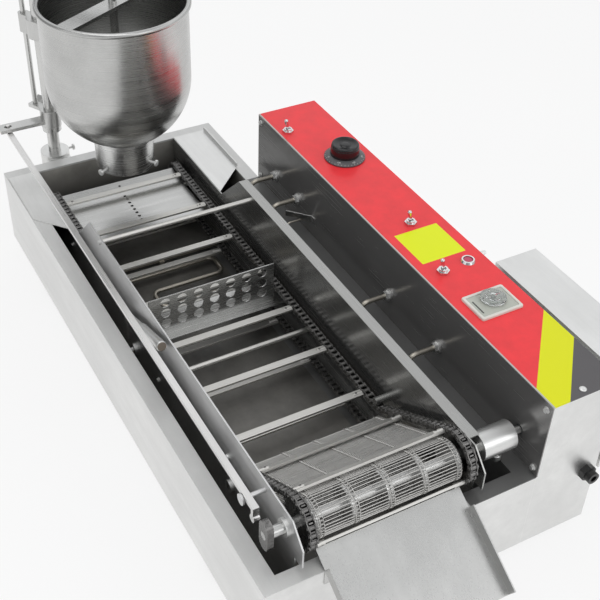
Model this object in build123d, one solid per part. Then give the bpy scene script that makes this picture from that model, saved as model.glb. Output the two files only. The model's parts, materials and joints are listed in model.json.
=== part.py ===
from build123d import *
import os
from math import atan2, cos, degrees, hypot, pi, radians, sin, sqrt, tan

# Automatic ring-donut fryer, in millimetres.
# While it is built, x runs from the left end of the tank, y from its front wall and z from the table.

# Tank, housing and feet
FOOT_H = 14.0
FOOT_D = 26.0
FOOT_X_INSET = 150.0
FOOT_Y_INSET = 18.0
HOUSING_L = 898.0
HOUSING_W = 358.0
HOUSING_H = 122.0
SHEET = 1.5
END_RIM = 20.0
SIDE_RIM = 22.0
TANK_DEPTH = 102.0

# Control cabinet
CABINET_LEFT = 187.0
CABINET_RISE = 114.0
CABINET_W = 98.0
BOLT_INSET = 9.0
BOLT_D = 9.0
BOLT_H = 3.5
COVER_L = 244.0
COVER_W = 65.0
COVER_H = 150.0
COVER_GAP = 5.0
COVER_NECK = 10.0
GEARBOX_W = 64.0
GEARBOX_D = 44.0
MOTOR_D = 60.0
MOTOR_L = 96.0
CONTACTOR_SIZE = (46.0, 60.0, 74.0)
CONTACTOR_FROM_LEFT = 90.0
GLAND_D = 22.0
GLAND_L = 16.0
GLAND_Y = 81.0
GLAND_Z = 29.5
CORD_BORE = 9.0
TAB_FROM_LEFT = 172.0
TAB_RISE = 29.0
TAB_L = 40.0
TAB_H = 9.0
TAB_TURN = 132.0
TAB_FOOT = 10.0

# Panel devices: x from the cabinet's left end, y from its front
TOGGLES = {"left": (66.0, 15.5), "middle": (346.5, 50.8), "right": (453.7, 29.7)}
TOGGLE_BUSH_D = 12.0
TOGGLE_BUSH_H = 6.0
TOGGLE_BORE_D = 7.0
TOGGLE_NUT_W = 15.0
TOGGLE_NUT_H = 3.5
TOGGLE_BODY = (14.0, 24.0, 26.0)
TOGGLE_NECK_D = 3.6
TOGGLE_LEVER_D = 6.0
TOGGLE_LEVER_H = 16.0
TOGGLE_TILT = 12.0
KNOB_AT = (163.8, 56.2)
KNOB_SKIRT_D = 60.0
KNOB_SKIRT_H = 5.0
KNOB_D = 40.0
KNOB_H = 23.0
KNOB_STEM_D = 6.0
THERMOSTAT_D = 44.0
THERMOSTAT_H = 34.0
LAMP_AT = (448.8, 72.0)
LAMP_D = 20.0
LAMP_RING_H = 3.0
LAMP_LENS_D = 16.0
LAMP_LENS_H = 2.0
LAMP_BODY_L = 24.0
TIMER_AT = (532.6, 48.2)
TIMER_W = 47.0
TIMER_D = 62.0
TIMER_H = 3.5
TIMER_BODY_H = 34.0
TIMER_LIP = 3.0
TIMER_DIAL_D = 33.0
TIMER_DIAL_H = 5.0
TIMER_DIAL_SHIFT = 4.0
TIMER_STEM_D = 5.0
STEM_DEPTH = 12.0

# Heating: gland places from the cabinet's left end, and how far each tube runs along the rear wall
HEATER_GLANDS = (59.8, 130.1, 384.3, 500.5)
HEATER_SHIFTS = (-41.8, 90.0)
HEATER_RISE = 37.0
HEATER_D = 7.0
HEATER_BEND = 12.0
HEATER_LEG_GAP = 30.5
HEATER_CLEAR = 6.0
SADDLE_W = 8.0
HEATER_FRONT_GAP = 42.0
HEATER_REAR_GAP = 30.0
HEATER_STEP = 41.0
HEATER_LEAD = 22.0
HEATER_FLANGE_D = 17.0
HEATER_FLANGE_T = 3.0
HEATER_NUT_W = 14.0
HEATER_NUT_H = 5.0
NOTCH_PLAY = 4.0
PROBE_FROM_LEFT = 158.0
PROBE_RISE = 20.0
PROBE_D = 3.0
BULB_D = 7.0
BULB_LENGTH = 90.0
PROBE_GAP = 14.0
BULB_DEPTH = 78.0

# Conveyor frame
FRAME_FRONT = 50.0
FRAME_REAR_GAP = 75.5
PLATE_T = 2.0
PLATE_RISE = 61.0
PLATE_LOW = 2.0
PLATE_GAP = 4.0
SLANT_LEFT = 208.0
SLANT_RUN = 61.0
FLANGE_W = 13.0
PLATE_OVERHANG = 10.0
PLATE_CORNER = 24.0
WING_T = 1.5
WING_FRONT_RUN = 143.0
WING_REAR_RUN = 146.0
WING_INNER_RUN = 200.0
WING_LIP = 7.0
WING_REAR_GAP = 17.0
TIE_D = 7.0
TIE_TOP = (311.0, 54.5)
TIE_MIDDLE = (503.0, -45.0)
SCREW_D = 7.5
SCREW_H = 3.0
RAIL_T = 3.0
STUD_D = 10.0
PLATE_BOLT = (711.5, 9.0)
REAR_BOLT_INSET = 29.0
REAR_BOLT_DROP = 5.5
REAR_BOLT_L = 10.0

# Chains, sprockets and push bars
PITCH = 9.525
ROLLER_D = 6.35
ROLLER_W = 5.72
LINK_T = 2.4
LINK_H = 8.2
CHAIN_INSET = 13.5
UPPER_DROP = 24.3
DRIVE_TEETH = 20
TAIL_TEETH = 18
DRIVE_FROM_END = 43.4
DRIVE_RISE = 40.6
TAIL_FROM_END = 62.0
INCLINE = 32.5
BEND_R = 32.0
SEAT_GAP = 0.5
TOOTH_H = 2.2
TOOTH_FLARE = 1.3
SPROCKET_W = 5.0
SHAFT_D = 14.0
TAIL_SHAFT_D = 12.0
BUSH_WALL = 4.0
BUSH_OUT = 5.0
RUN_GAP = 0.05
CLEAR = 0.3
OVERCUT = 1.0
FLIGHT_LINKS = 10
FLIGHT_W = 10.5
FLIGHT_T = 3.0
FLIGHT_BOSS_D = 6.0
FLIGHT_BOSS_L = 13.0
FLIGHT_PIN_D = 3.0
FLIGHT_PIN_L = 10.0
FLIGHT_AT = 282.5

# Discharge belt and chute
BELT_WHEEL_R = 22.0
BELT_IDLER_R = 10.0
BELT_RUN = 150.0
BELT_STRIP_T = 1.6
BELT_STRIP_W = 4.0
BELT_WIRE_D = 1.8
BELT_PITCH = 7.0
BELT_STRIPS = 5
BELT_EDGE = 23.0
IDLER_SHAFT_D = 8.0
CHUTE_L = 104.0
CHUTE_SLOPE = 30.0
CHUTE_TOP = 22.0
CHUTE_SIDE = 16.0
CHUTE_EDGE = 22.0

# Coupling to the motor
MOTOR_SHAFT_D = 10.0
COUPLING_D = 36.0
COUPLING_FROM_PLATE = 14.0
COUPLING_L = 46.0
COUPLING_SCREW_D = 6.0
COUPLING_SCREW_L = 18.0
COUPLING_HEAD_D = 13.0

# Plate under the outlet
DROP_LEFT = 72.0
DROP_L = 118.0
DROP_DEPTH = 34.0
DROP_EDGE = 19.0
DROP_LIP = 13.0
DROP_LIP_RISE = 4.0
DROP_HOLES = 8
DROP_HOLE_D = 5.0
DROP_HOLE_PITCH = 10.1
DROP_HOLE_LEFT = 97.0
DROP_HOLE_SHIFT = 2.5

# Turn-over plate
FLIPPER_X = 425.0
FLIPPER_DEPTH = 51.0
FLIPPER_SHAFT_D = 8.0
FLIPPER_RISE = 20.5
FLIPPER_EDGE = 20.5
FLIPPER_T = 1.5
FLIPPER_LIP = 14.0
FLIPPER_LEAF = 43.0
FLIPPER_COLUMNS = 7
FLIPPER_ROWS = 3
FLIPPER_HOLE_D = 15.0
FLIPPER_HOLE_FRONT = 24.5
FLIPPER_HOLE_REAR = 19.0
FLIPPER_PITCH_Z = 18.0
FLIPPER_FIRST_RISE = 21.0
LEVER_ARM = 65.0
LEVER_L = 128.0
LEVER_ANGLE = 18.0
LEVER_T = 5.0
LEVER_GAP = 2.0
LEVER_HUB_D = 20.0
GRIP_D = 14.0
GRIP_L = 70.0

# Column and depositor
COLUMN_X = -27.0
COLUMN_Y = 94.0
COLUMN_D = 19.0
COLUMN_TOP = 330.0
SOCKET_D = 46.0
SOCKET_H = 62.0
SOCKET_PAD_W = 36.0
SOCKET_FLOOR = 7.0
SOCKET_RISE = 3.0
THUMB_D = 4.0
THUMB_L = 10.0
THUMB_HEAD_D = 10.0
THUMB_HEAD_H = 4.0
HOPPER_X = 107.0
OUTLET_RISE = 38.0
OUTLET_H = 52.0
OUTLET_D = 90.0
BOWL_R = 107.0
BOWL_H = 210.0
BOWL_BEAD_D = 8.0
OUTLET_SCREWS = ((-64.0, 6.0), (39.0, 10.0))
OUTLET_SCREW_D = 4.0
OUTLET_SCREW_L = 12.0
OUTLET_HEAD_D = 10.0
OUTLET_HEAD_H = 4.0
CLAMP_RISE = 205.0
CLAMP_H = 30.0
CLAMP_D = 36.0
CLAMP_W = 34.0
BRIDGE_W = 26.0
BRIDGE_T = 6.0
PLUNGER_D = 12.0
PISTON_H = 12.0
PISTON_STOP = 9.0
FORMER_D = 42.0
FORMER_H = 4.0
PLUNGER_STROKE = 25.0
ROCKER_UP = 14.0
ROCKER_H = 10.0
ROCKER_W = 12.0
ROCKER_TAIL = 30.0
ROCKER_FORK_W = 28.0
ROCKER_SLOT_PLAY = 1.0
ROCKER_PIN_D = 8.0
EAR_T = 4.0
COLLAR_D = 24.0
COLLAR_H = 6.0
COLLAR_PLAY = 2.6
PUSH_ROD_D = 8.0

# Link from the drive shaft to the depositor
LINK_Y = 24.0
LINK_RISE = 55.0
LINK_W = 8.0
LINK_BAR_T = 5.0
LINK_END = 11.0
LINK_PIN_D = 6.0
LINK_PIN_L = 9.0
GUIDE_FROM_END = 92.0
GUIDE_D = 6.0
GUIDE_HEAD_D = 14.0
GUIDE_HEAD_H = 2.5
CAM_HIGH = 21.0
CAM_LOW = 9.5
CAM_BORE = 10.0
CAM_T = 8.0
NOSE_D = 10.0
ARM_W = 20.0
ARM_T = 5.5
ARM_GAP = 1.0
ARM_TIP = 14.0
ARM_SLOT_PLAY = 0.4
ARM_SLOT_L = 12.0
SLEEVE_D = 32.0
SLEEVE_BELOW = 8.0
SLEEVE_ABOVE = 16.0
SHOULDER_D = 30.0
SHOULDER_H = 8.0
RAMP_W = 12.0
RAMP_L = 9.0
RAMP_SLOPE = 40.0
RAMP_T = 6.0

# Heights and places that follow from the sizes above
RIM = FOOT_H + HOUSING_H
TANK_FLOOR = RIM - TANK_DEPTH
TANK_RIGHT = HOUSING_L - END_RIM
TANK_REAR = HOUSING_W - SIDE_RIM
CABINET_FRONT = HOUSING_W
CABINET_REAR = HOUSING_W + CABINET_W
CABINET_RIGHT = HOUSING_L
PANEL_TOP = RIM + CABINET_RISE
FRAME_REAR = HOUSING_W - FRAME_REAR_GAP
FRAME_MID = (FRAME_FRONT + FRAME_REAR) / 2
PANEL_UNDER = PANEL_TOP - SHEET
FACE_BACK = CABINET_FRONT + SHEET
COVER_FRONT = CABINET_REAR + COVER_GAP
COVER_REAR = COVER_FRONT + COVER_W
COVER_LEFT = CABINET_RIGHT - COVER_L
MOTOR_FRONT = FACE_BACK + GEARBOX_D
HEATER_XS = [CABINET_LEFT + x for x in HEATER_GLANDS]
HEATER_ENTRIES = (HEATER_XS[0] + HEATER_SHIFTS[0], HEATER_XS[2] + HEATER_SHIFTS[1])
HEATER_CROSSINGS = (HEATER_ENTRIES[0], HEATER_XS[1], HEATER_ENTRIES[1], HEATER_XS[3])
HEATER_Z = TANK_FLOOR + HEATER_CLEAR + HEATER_D / 2
HEATER_FRONT_Y = FRAME_FRONT + HEATER_FRONT_GAP
HEATER_LOOP_Y = FRAME_REAR - HEATER_REAR_GAP
HEATER_LEG_Y = FRAME_REAR + HEATER_LEG_GAP
PROBE_Y = TANK_REAR - PROBE_GAP
WING_REAR_Y = HOUSING_W - WING_REAR_GAP
CHAIN_YS = (FRAME_FRONT + CHAIN_INSET, FRAME_REAR - CHAIN_INSET)
CHAIN_HALF = ROLLER_W / 2 + LINK_T
UPPER_Z = RIM - UPPER_DROP
DRIVE = (HOUSING_L - DRIVE_FROM_END, RIM + DRIVE_RISE)
DRIVE_R = DRIVE_TEETH * PITCH / (2 * pi)
TAIL_R = TAIL_TEETH * PITCH / (2 * pi)
TAIL_Z = UPPER_Z - TAIL_R
FLIPPER_Z = RIM - FLIPPER_DEPTH
HOPPER_Y = FRAME_MID
OUTLET_Z = RIM + OUTLET_RISE
BOWL_Z = OUTLET_Z + OUTLET_H
BOWL_TOP = BOWL_Z + BOWL_H
OUTLET_BORE = OUTLET_D - 2 * SHEET
BOWL_D = 2 * BOWL_R
PISTON_UP = PLUNGER_STROKE + PISTON_STOP
ROCKER_REACH = hypot(HOPPER_X - COLUMN_X, HOPPER_Y - COLUMN_Y)
ROCKER_TURN = degrees(atan2(HOPPER_Y - COLUMN_Y, HOPPER_X - COLUMN_X))
ROCKER_Z = RIM + COLUMN_TOP + ROCKER_UP
LINK_Z = RIM + LINK_RISE
LINK_TOP = LINK_Z + LINK_BAR_T / 2
ARM_Z = LINK_TOP + ARM_GAP
SLEEVE_Z = ARM_Z - SLEEVE_BELOW
SLEEVE_TOP = ARM_Z + ARM_T + SLEEVE_ABOVE
NOSE_X = DRIVE[0] - CAM_HIGH - CLEAR - NOSE_D / 2
CAM_FRONT = LINK_Y - CAM_T / 2
COUPLING_FRONT = FRAME_REAR + COUPLING_FROM_PLATE
COUPLING_REAR = COUPLING_FRONT + COUPLING_L
COUPLING_MID = (COUPLING_FRONT + COUPLING_REAR) / 2
COUPLING_SCREW_Y = COUPLING_REAR - COUPLING_HEAD_D
BELT_FRONT = FRAME_FRONT + BELT_EDGE
BELT_REAR = FRAME_REAR - BELT_EDGE
RAMP_RISE = RAMP_L * tan(radians(RAMP_SLOPE))
DROP_TOP = RIM - DROP_DEPTH
DROP_TIE_Z = DROP_TOP - SHEET - TIE_D / 2
TIE_PLACES = [
    (TIE_TOP[0], RIM + TIE_TOP[1]), (TIE_MIDDLE[0], RIM + TIE_MIDDLE[1]),
    (DROP_LEFT + DROP_L / 4, DROP_TIE_Z), (DROP_LEFT + DROP_L * 7 / 8, DROP_TIE_Z),
]


def block(x0, x1, y0, y1, z0, z1):
    """Box between two corners."""
    return Pos((x0 + x1) / 2, (y0 + y1) / 2, (z0 + z1) / 2) * Box(x1 - x0, y1 - y0, z1 - z0)


def rod_x(x0, x1, y, z, d):
    """Round bar along x."""
    return Pos((x0 + x1) / 2, y, z) * Rot(0, 90, 0) * Cylinder(d / 2, x1 - x0)


def rod_y(y0, y1, x, z, d):
    """Round bar along y."""
    return Pos(x, (y0 + y1) / 2, z) * Rot(90, 0, 0) * Cylinder(d / 2, y1 - y0)


def rod_z(z0, z1, x, y, d):
    """Round bar along z."""
    return Pos(x, y, (z0 + z1) / 2) * Cylinder(d / 2, z1 - z0)


def side_sheet(outline, y0, y1):
    """Solid with an outline drawn in x and z, between two y planes."""
    plane = Plane((0, y1, 0), x_dir=(1, 0, 0), z_dir=(0, -1, 0))
    return extrude(plane * outline, y1 - y0, dir=(0, -1, 0))


def flat_sheet(outline, z0, z1):
    """Solid with an outline drawn in x and y, between two heights."""
    return extrude(Pos(0, 0, z0) * outline, z1 - z0, dir=(0, 0, 1))


def group(pieces):
    """One node of several separate solids."""
    return Compound([solid for piece in pieces for solid in piece.solids()])


def on_circle(centre, radius, angle):
    """Point of a circle at an angle in degrees."""
    return centre[0] + radius * cos(radians(angle)), centre[1] + radius * sin(radians(angle))


# Closed loops: each arc is centre, radius, start angle, sweep, and +1 where growing the loop widens it
def arc_start(arc, grow=0.0):
    return on_circle(arc[0], arc[1] + arc[4] * grow, arc[2])


def arc_end(arc, grow=0.0):
    return on_circle(arc[0], arc[1] + arc[4] * grow, arc[2] + arc[3])


def loop_pieces(arcs):
    """Straight runs and arcs in order of travel, each with its length."""
    pieces = []
    previous = arcs[-1]
    for arc in arcs:
        start, end = arc_end(previous), arc_start(arc)
        pieces.append(("run", (start, end), hypot(end[0] - start[0], end[1] - start[1])))
        pieces.append(("arc", arc, radians(abs(arc[3])) * arc[1]))
        previous = arc
    return pieces


def loop_length(arcs):
    return sum(length for _, _, length in loop_pieces(arcs))


def loop_point(arcs, distance, grow=0.0):
    """Point at a distance along the loop from the end of its last arc, moved outwards by grow."""
    pieces = loop_pieces(arcs)
    distance %= sum(length for _, _, length in pieces)
    for kind, shape, length in pieces:
        if distance <= length:
            break
        distance -= length
    share = distance / length
    if kind == "arc":
        return on_circle(shape[0], shape[1] + shape[4] * grow, shape[2] + shape[3] * share)
    (x0, z0), (x1, z1) = shape
    across = ((z0 - z1) / length * grow, (x1 - x0) / length * grow)
    return x0 + (x1 - x0) * share + across[0], z0 + (z1 - z0) * share + across[1]


def loop_face(arcs, grow):
    """Face inside a loop that is grown outwards."""
    edges = []
    for arc, following in zip(arcs, arcs[1:] + arcs[:1]):
        radius = arc[1] + arc[4] * grow
        middle = on_circle(arc[0], radius, arc[2] + arc[3] / 2)
        edges.append(ThreePointArc(arc_start(arc, grow), middle, arc_end(arc, grow)))
        edges.append(Line(arc_end(arc, grow), arc_start(following, grow)))
    return make_face(edges)


def loop_band(arcs, inner, outer, y0, y1):
    """Flat band that follows a loop, between two offsets."""
    return side_sheet(loop_face(arcs, outer) - loop_face(arcs, inner), y0, y1)


def chain_arcs(tail_x):
    """Bend, drive sprocket, lower bend and tail sprocket of the chain loop."""
    ease = BEND_R * tan(radians(INCLINE) / 2)
    slope = tan(radians(INCLINE))
    top = on_circle(DRIVE, DRIVE_R, 90 + INCLINE)
    low = on_circle(DRIVE, DRIVE_R, INCLINE - 90)
    lower_z = UPPER_Z - 2 * TAIL_R
    upper_x = top[0] - (top[1] - UPPER_Z) / slope - ease
    lower_x = low[0] - (low[1] - lower_z) / slope - ease
    return [
        ((upper_x, UPPER_Z + BEND_R), BEND_R, -90, INCLINE, -1),
        (DRIVE, DRIVE_R, 90 + INCLINE, -180, 1),
        ((lower_x, lower_z + BEND_R), BEND_R, INCLINE - 90, -INCLINE, 1),
        ((tail_x, TAIL_Z), TAIL_R, -90, -180, 1),
    ]


# The tail sprockets are set so that the chain is a whole, even number of links
SPARE = loop_length(chain_arcs(TAIL_FROM_END))
LINKS = 2 * round(SPARE / (2 * PITCH))
TAIL = (TAIL_FROM_END + (SPARE - LINKS * PITCH) / 2, TAIL_Z)
CHAIN = chain_arcs(TAIL[0])
CHAIN_PHASE = FLIGHT_AT - TAIL[0]
FLIGHTS = LINKS // FLIGHT_LINKS
BEND_CENTRE = CHAIN[0][0]


def belt_arcs():
    """Drive wheel and idler of the wire belt, with its upper run along the incline."""
    start = on_circle(DRIVE, BELT_WHEEL_R, 90 + INCLINE)
    foot = (start[0] - BELT_RUN * cos(radians(INCLINE)), start[1] - BELT_RUN * sin(radians(INCLINE)))
    idler = on_circle(foot, BELT_IDLER_R, INCLINE - 90)
    centres = degrees(atan2(DRIVE[1] - idler[1], DRIVE[0] - idler[0]))
    lower = 2 * centres - INCLINE
    return [
        (DRIVE, BELT_WHEEL_R, 90 + INCLINE, lower - INCLINE - 180, 1),
        (idler, BELT_IDLER_R, lower - 90, INCLINE - lower - 180, 1),
    ]


BELT = belt_arcs()
IDLER = BELT[1][0]
BELT_STEP = (BELT_REAR - BELT_FRONT - BELT_STRIP_W) / (BELT_STRIPS - 1)
BELT_YS = [BELT_FRONT + BELT_STRIP_W / 2 + BELT_STEP * k for k in range(BELT_STRIPS)]


def seat_phase(index):
    """Angle of a roller that lies on one of the chain loop's arcs."""
    before = sum(length for _, _, length in loop_pieces(CHAIN)[: 2 * index + 1])
    ahead = (CHAIN_PHASE - before) % PITCH
    _, radius, start, sweep, _ = CHAIN[index]
    return start + degrees(ahead / radius) * (1 if sweep > 0 else -1)


# Tank and housing
def outer_housing():
    outer = block(0, HOUSING_L, 0, HOUSING_W, FOOT_H, RIM - SHEET)
    inner = block(SHEET, HOUSING_L - SHEET, SHEET, HOUSING_W - SHEET, FOOT_H + SHEET, RIM)
    return outer - inner


def oil_tank():
    """Welded pan: floor, four walls and the four strips of its wide rim."""
    left, right = END_RIM - SHEET, TANK_RIGHT + SHEET
    front, rear = SIDE_RIM - SHEET, TANK_REAR + SHEET
    under_rim = RIM - SHEET
    sheets = [block(left, right, front, rear, TANK_FLOOR - SHEET, TANK_FLOOR)]
    for y in (front, TANK_REAR):
        sheets.append(block(left, right, y, y + SHEET, TANK_FLOOR, under_rim))
    for x in (left, TANK_RIGHT):
        sheets.append(block(x, x + SHEET, SIDE_RIM, TANK_REAR, TANK_FLOOR, under_rim))
    for y0, y1 in ((0, SIDE_RIM), (TANK_REAR, HOUSING_W)):
        sheets.append(block(0, HOUSING_L, y0, y1, under_rim, RIM))
    for x0, x1 in ((0, END_RIM), (TANK_RIGHT, HOUSING_L)):
        sheets.append(block(x0, x1, SIDE_RIM, TANK_REAR, under_rim, RIM))
    return group(sheets)


def rubber_feet():
    places = []
    for x in (FOOT_X_INSET, HOUSING_L - FOOT_X_INSET):
        places += [(x, FOOT_Y_INSET), (x, HOUSING_W - FOOT_Y_INSET)]
    for x in (CABINET_LEFT + FOOT_D, CABINET_RIGHT - FOOT_X_INSET):
        places.append((x, CABINET_REAR - FOOT_Y_INSET))
    return group([rod_z(0, FOOT_H, x, y, FOOT_D) for x, y in places])


# Control cabinet
def panel_place(spot):
    """Panel device place in the building frame."""
    return CABINET_LEFT + spot[0], CABINET_FRONT + spot[1]


def motor_window(y0, y1):
    """Opening through the rear wall for the motor."""
    half = MOTOR_D / 2 + COVER_NECK / 2
    return block(DRIVE[0] - half, DRIVE[0] + min(half, CABINET_RIGHT - SHEET - DRIVE[0]), y0, y1,
                 DRIVE[1] - half, DRIVE[1] + half)


def cabinet_body():
    outer = block(CABINET_LEFT, CABINET_RIGHT, CABINET_FRONT, CABINET_REAR, FOOT_H, PANEL_UNDER)
    inner = block(CABINET_LEFT + SHEET, CABINET_RIGHT - SHEET, FACE_BACK, CABINET_REAR - SHEET,
                  FOOT_H + SHEET, PANEL_TOP)
    face = block(CABINET_LEFT, CABINET_RIGHT, CABINET_FRONT, FACE_BACK, RIM, PANEL_TOP)
    cord = rod_x(CABINET_RIGHT - 2 * SHEET, CABINET_RIGHT + SHEET, CABINET_FRONT + GLAND_Y, RIM - GLAND_Z,
                 CORD_BORE + 2 * SHEET)
    return outer - inner - face - motor_window(CABINET_REAR - 2 * SHEET, CABINET_REAR + SHEET) - cord


def cabinet_front():
    sheet = block(CABINET_LEFT, CABINET_RIGHT, CABINET_FRONT, FACE_BACK, RIM, PANEL_UNDER)
    cuts = [rod_y(CABINET_FRONT - SHEET, FACE_BACK + SHEET, x, RIM + HEATER_RISE, HEATER_D + 2 * CLEAR)
            for x in HEATER_XS]
    cuts.append(rod_y(CABINET_FRONT - SHEET, FACE_BACK + SHEET, *DRIVE, MOTOR_SHAFT_D + 2 * SHEET))
    cuts.append(rod_y(CABINET_FRONT - SHEET, FACE_BACK + SHEET, CABINET_LEFT + PROBE_FROM_LEFT,
                      RIM + PROBE_RISE, PROBE_D + 2 * CLEAR))
    return sheet - cuts


def control_panel():
    panel = block(CABINET_LEFT, CABINET_RIGHT, CABINET_FRONT, CABINET_REAR, PANEL_UNDER, PANEL_TOP)
    low, high = PANEL_UNDER - SHEET, PANEL_TOP + SHEET
    cuts = [rod_z(low, high, *panel_place(spot), TOGGLE_BUSH_D + 2 * RUN_GAP) for spot in TOGGLES.values()]
    cuts.append(rod_z(low, high, *panel_place(KNOB_AT), KNOB_STEM_D + 2 * SHEET))
    cuts.append(rod_z(low, high, *panel_place(LAMP_AT), LAMP_LENS_D + 2 * RUN_GAP))
    x, y = panel_place(TIMER_AT)
    half_x, half_y = TIMER_W / 2 - TIMER_LIP + RUN_GAP, TIMER_D / 2 - TIMER_LIP + RUN_GAP
    cuts.append(block(x - half_x, x + half_x, y - half_y, y + half_y, low, high))
    return panel - cuts


def machine_screws():
    """Bolts of the cabinet's front and back, one panel screw, and the screws of the side plates."""
    screws = []
    for x in (CABINET_LEFT + BOLT_INSET, CABINET_RIGHT - BOLT_INSET):
        for z in (RIM + BOLT_INSET, PANEL_UNDER - BOLT_INSET):
            screws.append(rod_y(CABINET_FRONT - BOLT_H, CABINET_FRONT, x, z, BOLT_D))
    screws.append(rod_z(PANEL_TOP, PANEL_TOP + BOLT_H / 2, CABINET_RIGHT - BOLT_INSET,
                        (CABINET_FRONT + CABINET_REAR) / 2, BOLT_D))
    front, rear = FRAME_FRONT - PLATE_T, FRAME_REAR + PLATE_T
    for x, z in TIE_PLACES + [HOLD_DOWN]:
        screws.append(rod_y(front - SCREW_H, front, x, z, SCREW_D))
        screws.append(rod_y(rear, rear + SCREW_H, x, z, SCREW_D))
    screws.append(rod_y(front - 2 * SCREW_H, front, PLATE_BOLT[0], RIM + PLATE_BOLT[1], SCREW_D))
    rear_x, rear_z = COVER_LEFT - REAR_BOLT_INSET, PANEL_TOP - REAR_BOLT_DROP
    screws.append(rod_y(CABINET_REAR, CABINET_REAR + REAR_BOLT_L, rear_x, rear_z, SCREW_D))
    return group(screws)


def motor_cover():
    bottom = PANEL_TOP - COVER_H
    shell = block(COVER_LEFT, CABINET_RIGHT, COVER_FRONT, COVER_REAR, bottom, PANEL_TOP)
    neck = block(COVER_LEFT + COVER_NECK, CABINET_RIGHT - COVER_NECK, CABINET_REAR, COVER_FRONT,
                 bottom + COVER_NECK, PANEL_TOP - COVER_NECK)
    inside = block(COVER_LEFT + SHEET, CABINET_RIGHT - SHEET, COVER_FRONT + SHEET, COVER_REAR - SHEET,
                   bottom + SHEET, PANEL_TOP - SHEET)
    passage = block(COVER_LEFT + COVER_NECK + SHEET, CABINET_RIGHT - COVER_NECK - SHEET, CABINET_REAR,
                    COVER_FRONT + 2 * SHEET, bottom + COVER_NECK + SHEET, PANEL_TOP - COVER_NECK - SHEET)
    return shell + neck - inside - passage


def gear_motor():
    half = GEARBOX_W / 2
    x, z = DRIVE
    gearbox = block(x - half, x + half, FACE_BACK, MOTOR_FRONT, z - half, z + half)
    motor = rod_y(MOTOR_FRONT, MOTOR_FRONT + MOTOR_L, x, z, MOTOR_D)
    bore = rod_y(FACE_BACK - SHEET, MOTOR_FRONT, x, z, MOTOR_SHAFT_D + 2 * RUN_GAP)
    return gearbox + motor - bore


def contactor():
    width, depth, height = CONTACTOR_SIZE
    x = CABINET_LEFT + CONTACTOR_FROM_LEFT
    rear = CABINET_REAR - SHEET
    base = FOOT_H + SHEET
    body = block(x, x + width, rear - depth, rear, base, base + height)
    ridge = block(x + width / 4, x + width * 3 / 4, rear - depth, rear, base, base + height + SADDLE_W)
    return body + ridge


def power_gland():
    y, z = CABINET_FRONT + GLAND_Y, RIM - GLAND_Z
    face = Plane((CABINET_RIGHT, y, z), z_dir=(1, 0, 0))
    nut = extrude(face * RegularPolygon(GLAND_D / 2, 6), GLAND_L / 2)
    nose = rod_x(CABINET_RIGHT, CABINET_RIGHT + GLAND_L, y, z, GLAND_D * 3 / 4)
    thread = rod_x(CABINET_RIGHT - GLAND_L / 2, CABINET_RIGHT, y, z, CORD_BORE + 2 * SHEET - 2 * RUN_GAP)
    bore = rod_x(CABINET_RIGHT - GLAND_L, CABINET_RIGHT + 2 * GLAND_L, y, z, CORD_BORE)
    return nut + nose + thread - bore


def face_tab():
    """Bent flat tab on the polished front."""
    x, z = CABINET_LEFT + TAB_FROM_LEFT, RIM + TAB_RISE
    foot = block(x, x + TAB_FOOT, CABINET_FRONT - SHEET, CABINET_FRONT, z - TAB_H / 2, z + TAB_H / 2)
    arm = Pos(x + SHEET, CABINET_FRONT - SHEET, z) * Rot(0, 0, TAB_TURN + 90) * block(
        0, TAB_L, -SHEET / 2, SHEET / 2, -TAB_H / 2, TAB_H / 2)
    keep = block(x - TAB_L, x + TAB_FOOT, CABINET_FRONT - TAB_L, CABINET_FRONT, z - TAB_H, z + TAB_H)
    return (foot + arm) & keep


# Panel devices
def toggle_body(spot):
    x, y = panel_place(spot)
    width, depth, height = TOGGLE_BODY
    low = PANEL_UNDER - height
    body = block(x - width / 2, x + width / 2, y - depth / 2, y + depth / 2, low, PANEL_UNDER)
    body &= block(x - width, x + width, FACE_BACK + CLEAR, CABINET_REAR - SHEET - CLEAR, low, PANEL_UNDER)
    bush = rod_z(PANEL_UNDER, PANEL_TOP + TOGGLE_BUSH_H, x, y, TOGGLE_BUSH_D)
    hexagon = RegularPolygon(TOGGLE_NUT_W / 2, 6, major_radius=False)
    nut = extrude(Pos(x, y, PANEL_TOP) * hexagon, TOGGLE_NUT_H)
    bore = rod_z(PANEL_TOP - SHEET, PANEL_TOP + 2 * TOGGLE_BUSH_H, x, y, TOGGLE_BORE_D)
    return body + bush + nut - bore


def thermostat_body():
    x, y = panel_place(KNOB_AT)
    body = rod_z(PANEL_UNDER - THERMOSTAT_H, PANEL_UNDER, x, y, THERMOSTAT_D)
    return body - rod_z(PANEL_UNDER - STEM_DEPTH, PANEL_TOP, x, y, KNOB_STEM_D + 2 * RUN_GAP)


def switch_bodies():
    """Three toggle switches and the thermostat under the panel."""
    return group([toggle_body(spot) for spot in TOGGLES.values()] + [thermostat_body()])


def toggle_pivot(spot):
    """Centre of the ball that a toggle lever tips on."""
    x, y = panel_place(spot)
    return x, y, PANEL_TOP + TOGGLE_BORE_D / 2


def toggle_lever(spot):
    ball = Sphere(TOGGLE_BORE_D / 2 - CLEAR)
    radius = TOGGLE_LEVER_D / 2
    stem = Pos(0, 0, TOGGLE_LEVER_H / 2) * Cone(TOGGLE_NECK_D / 2, radius, TOGGLE_LEVER_H)
    tip = Pos(0, 0, TOGGLE_LEVER_H) * Sphere(radius)
    return Pos(*toggle_pivot(spot)) * Rot(TOGGLE_TILT, 0, 0) * (ball + stem + tip)


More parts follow.
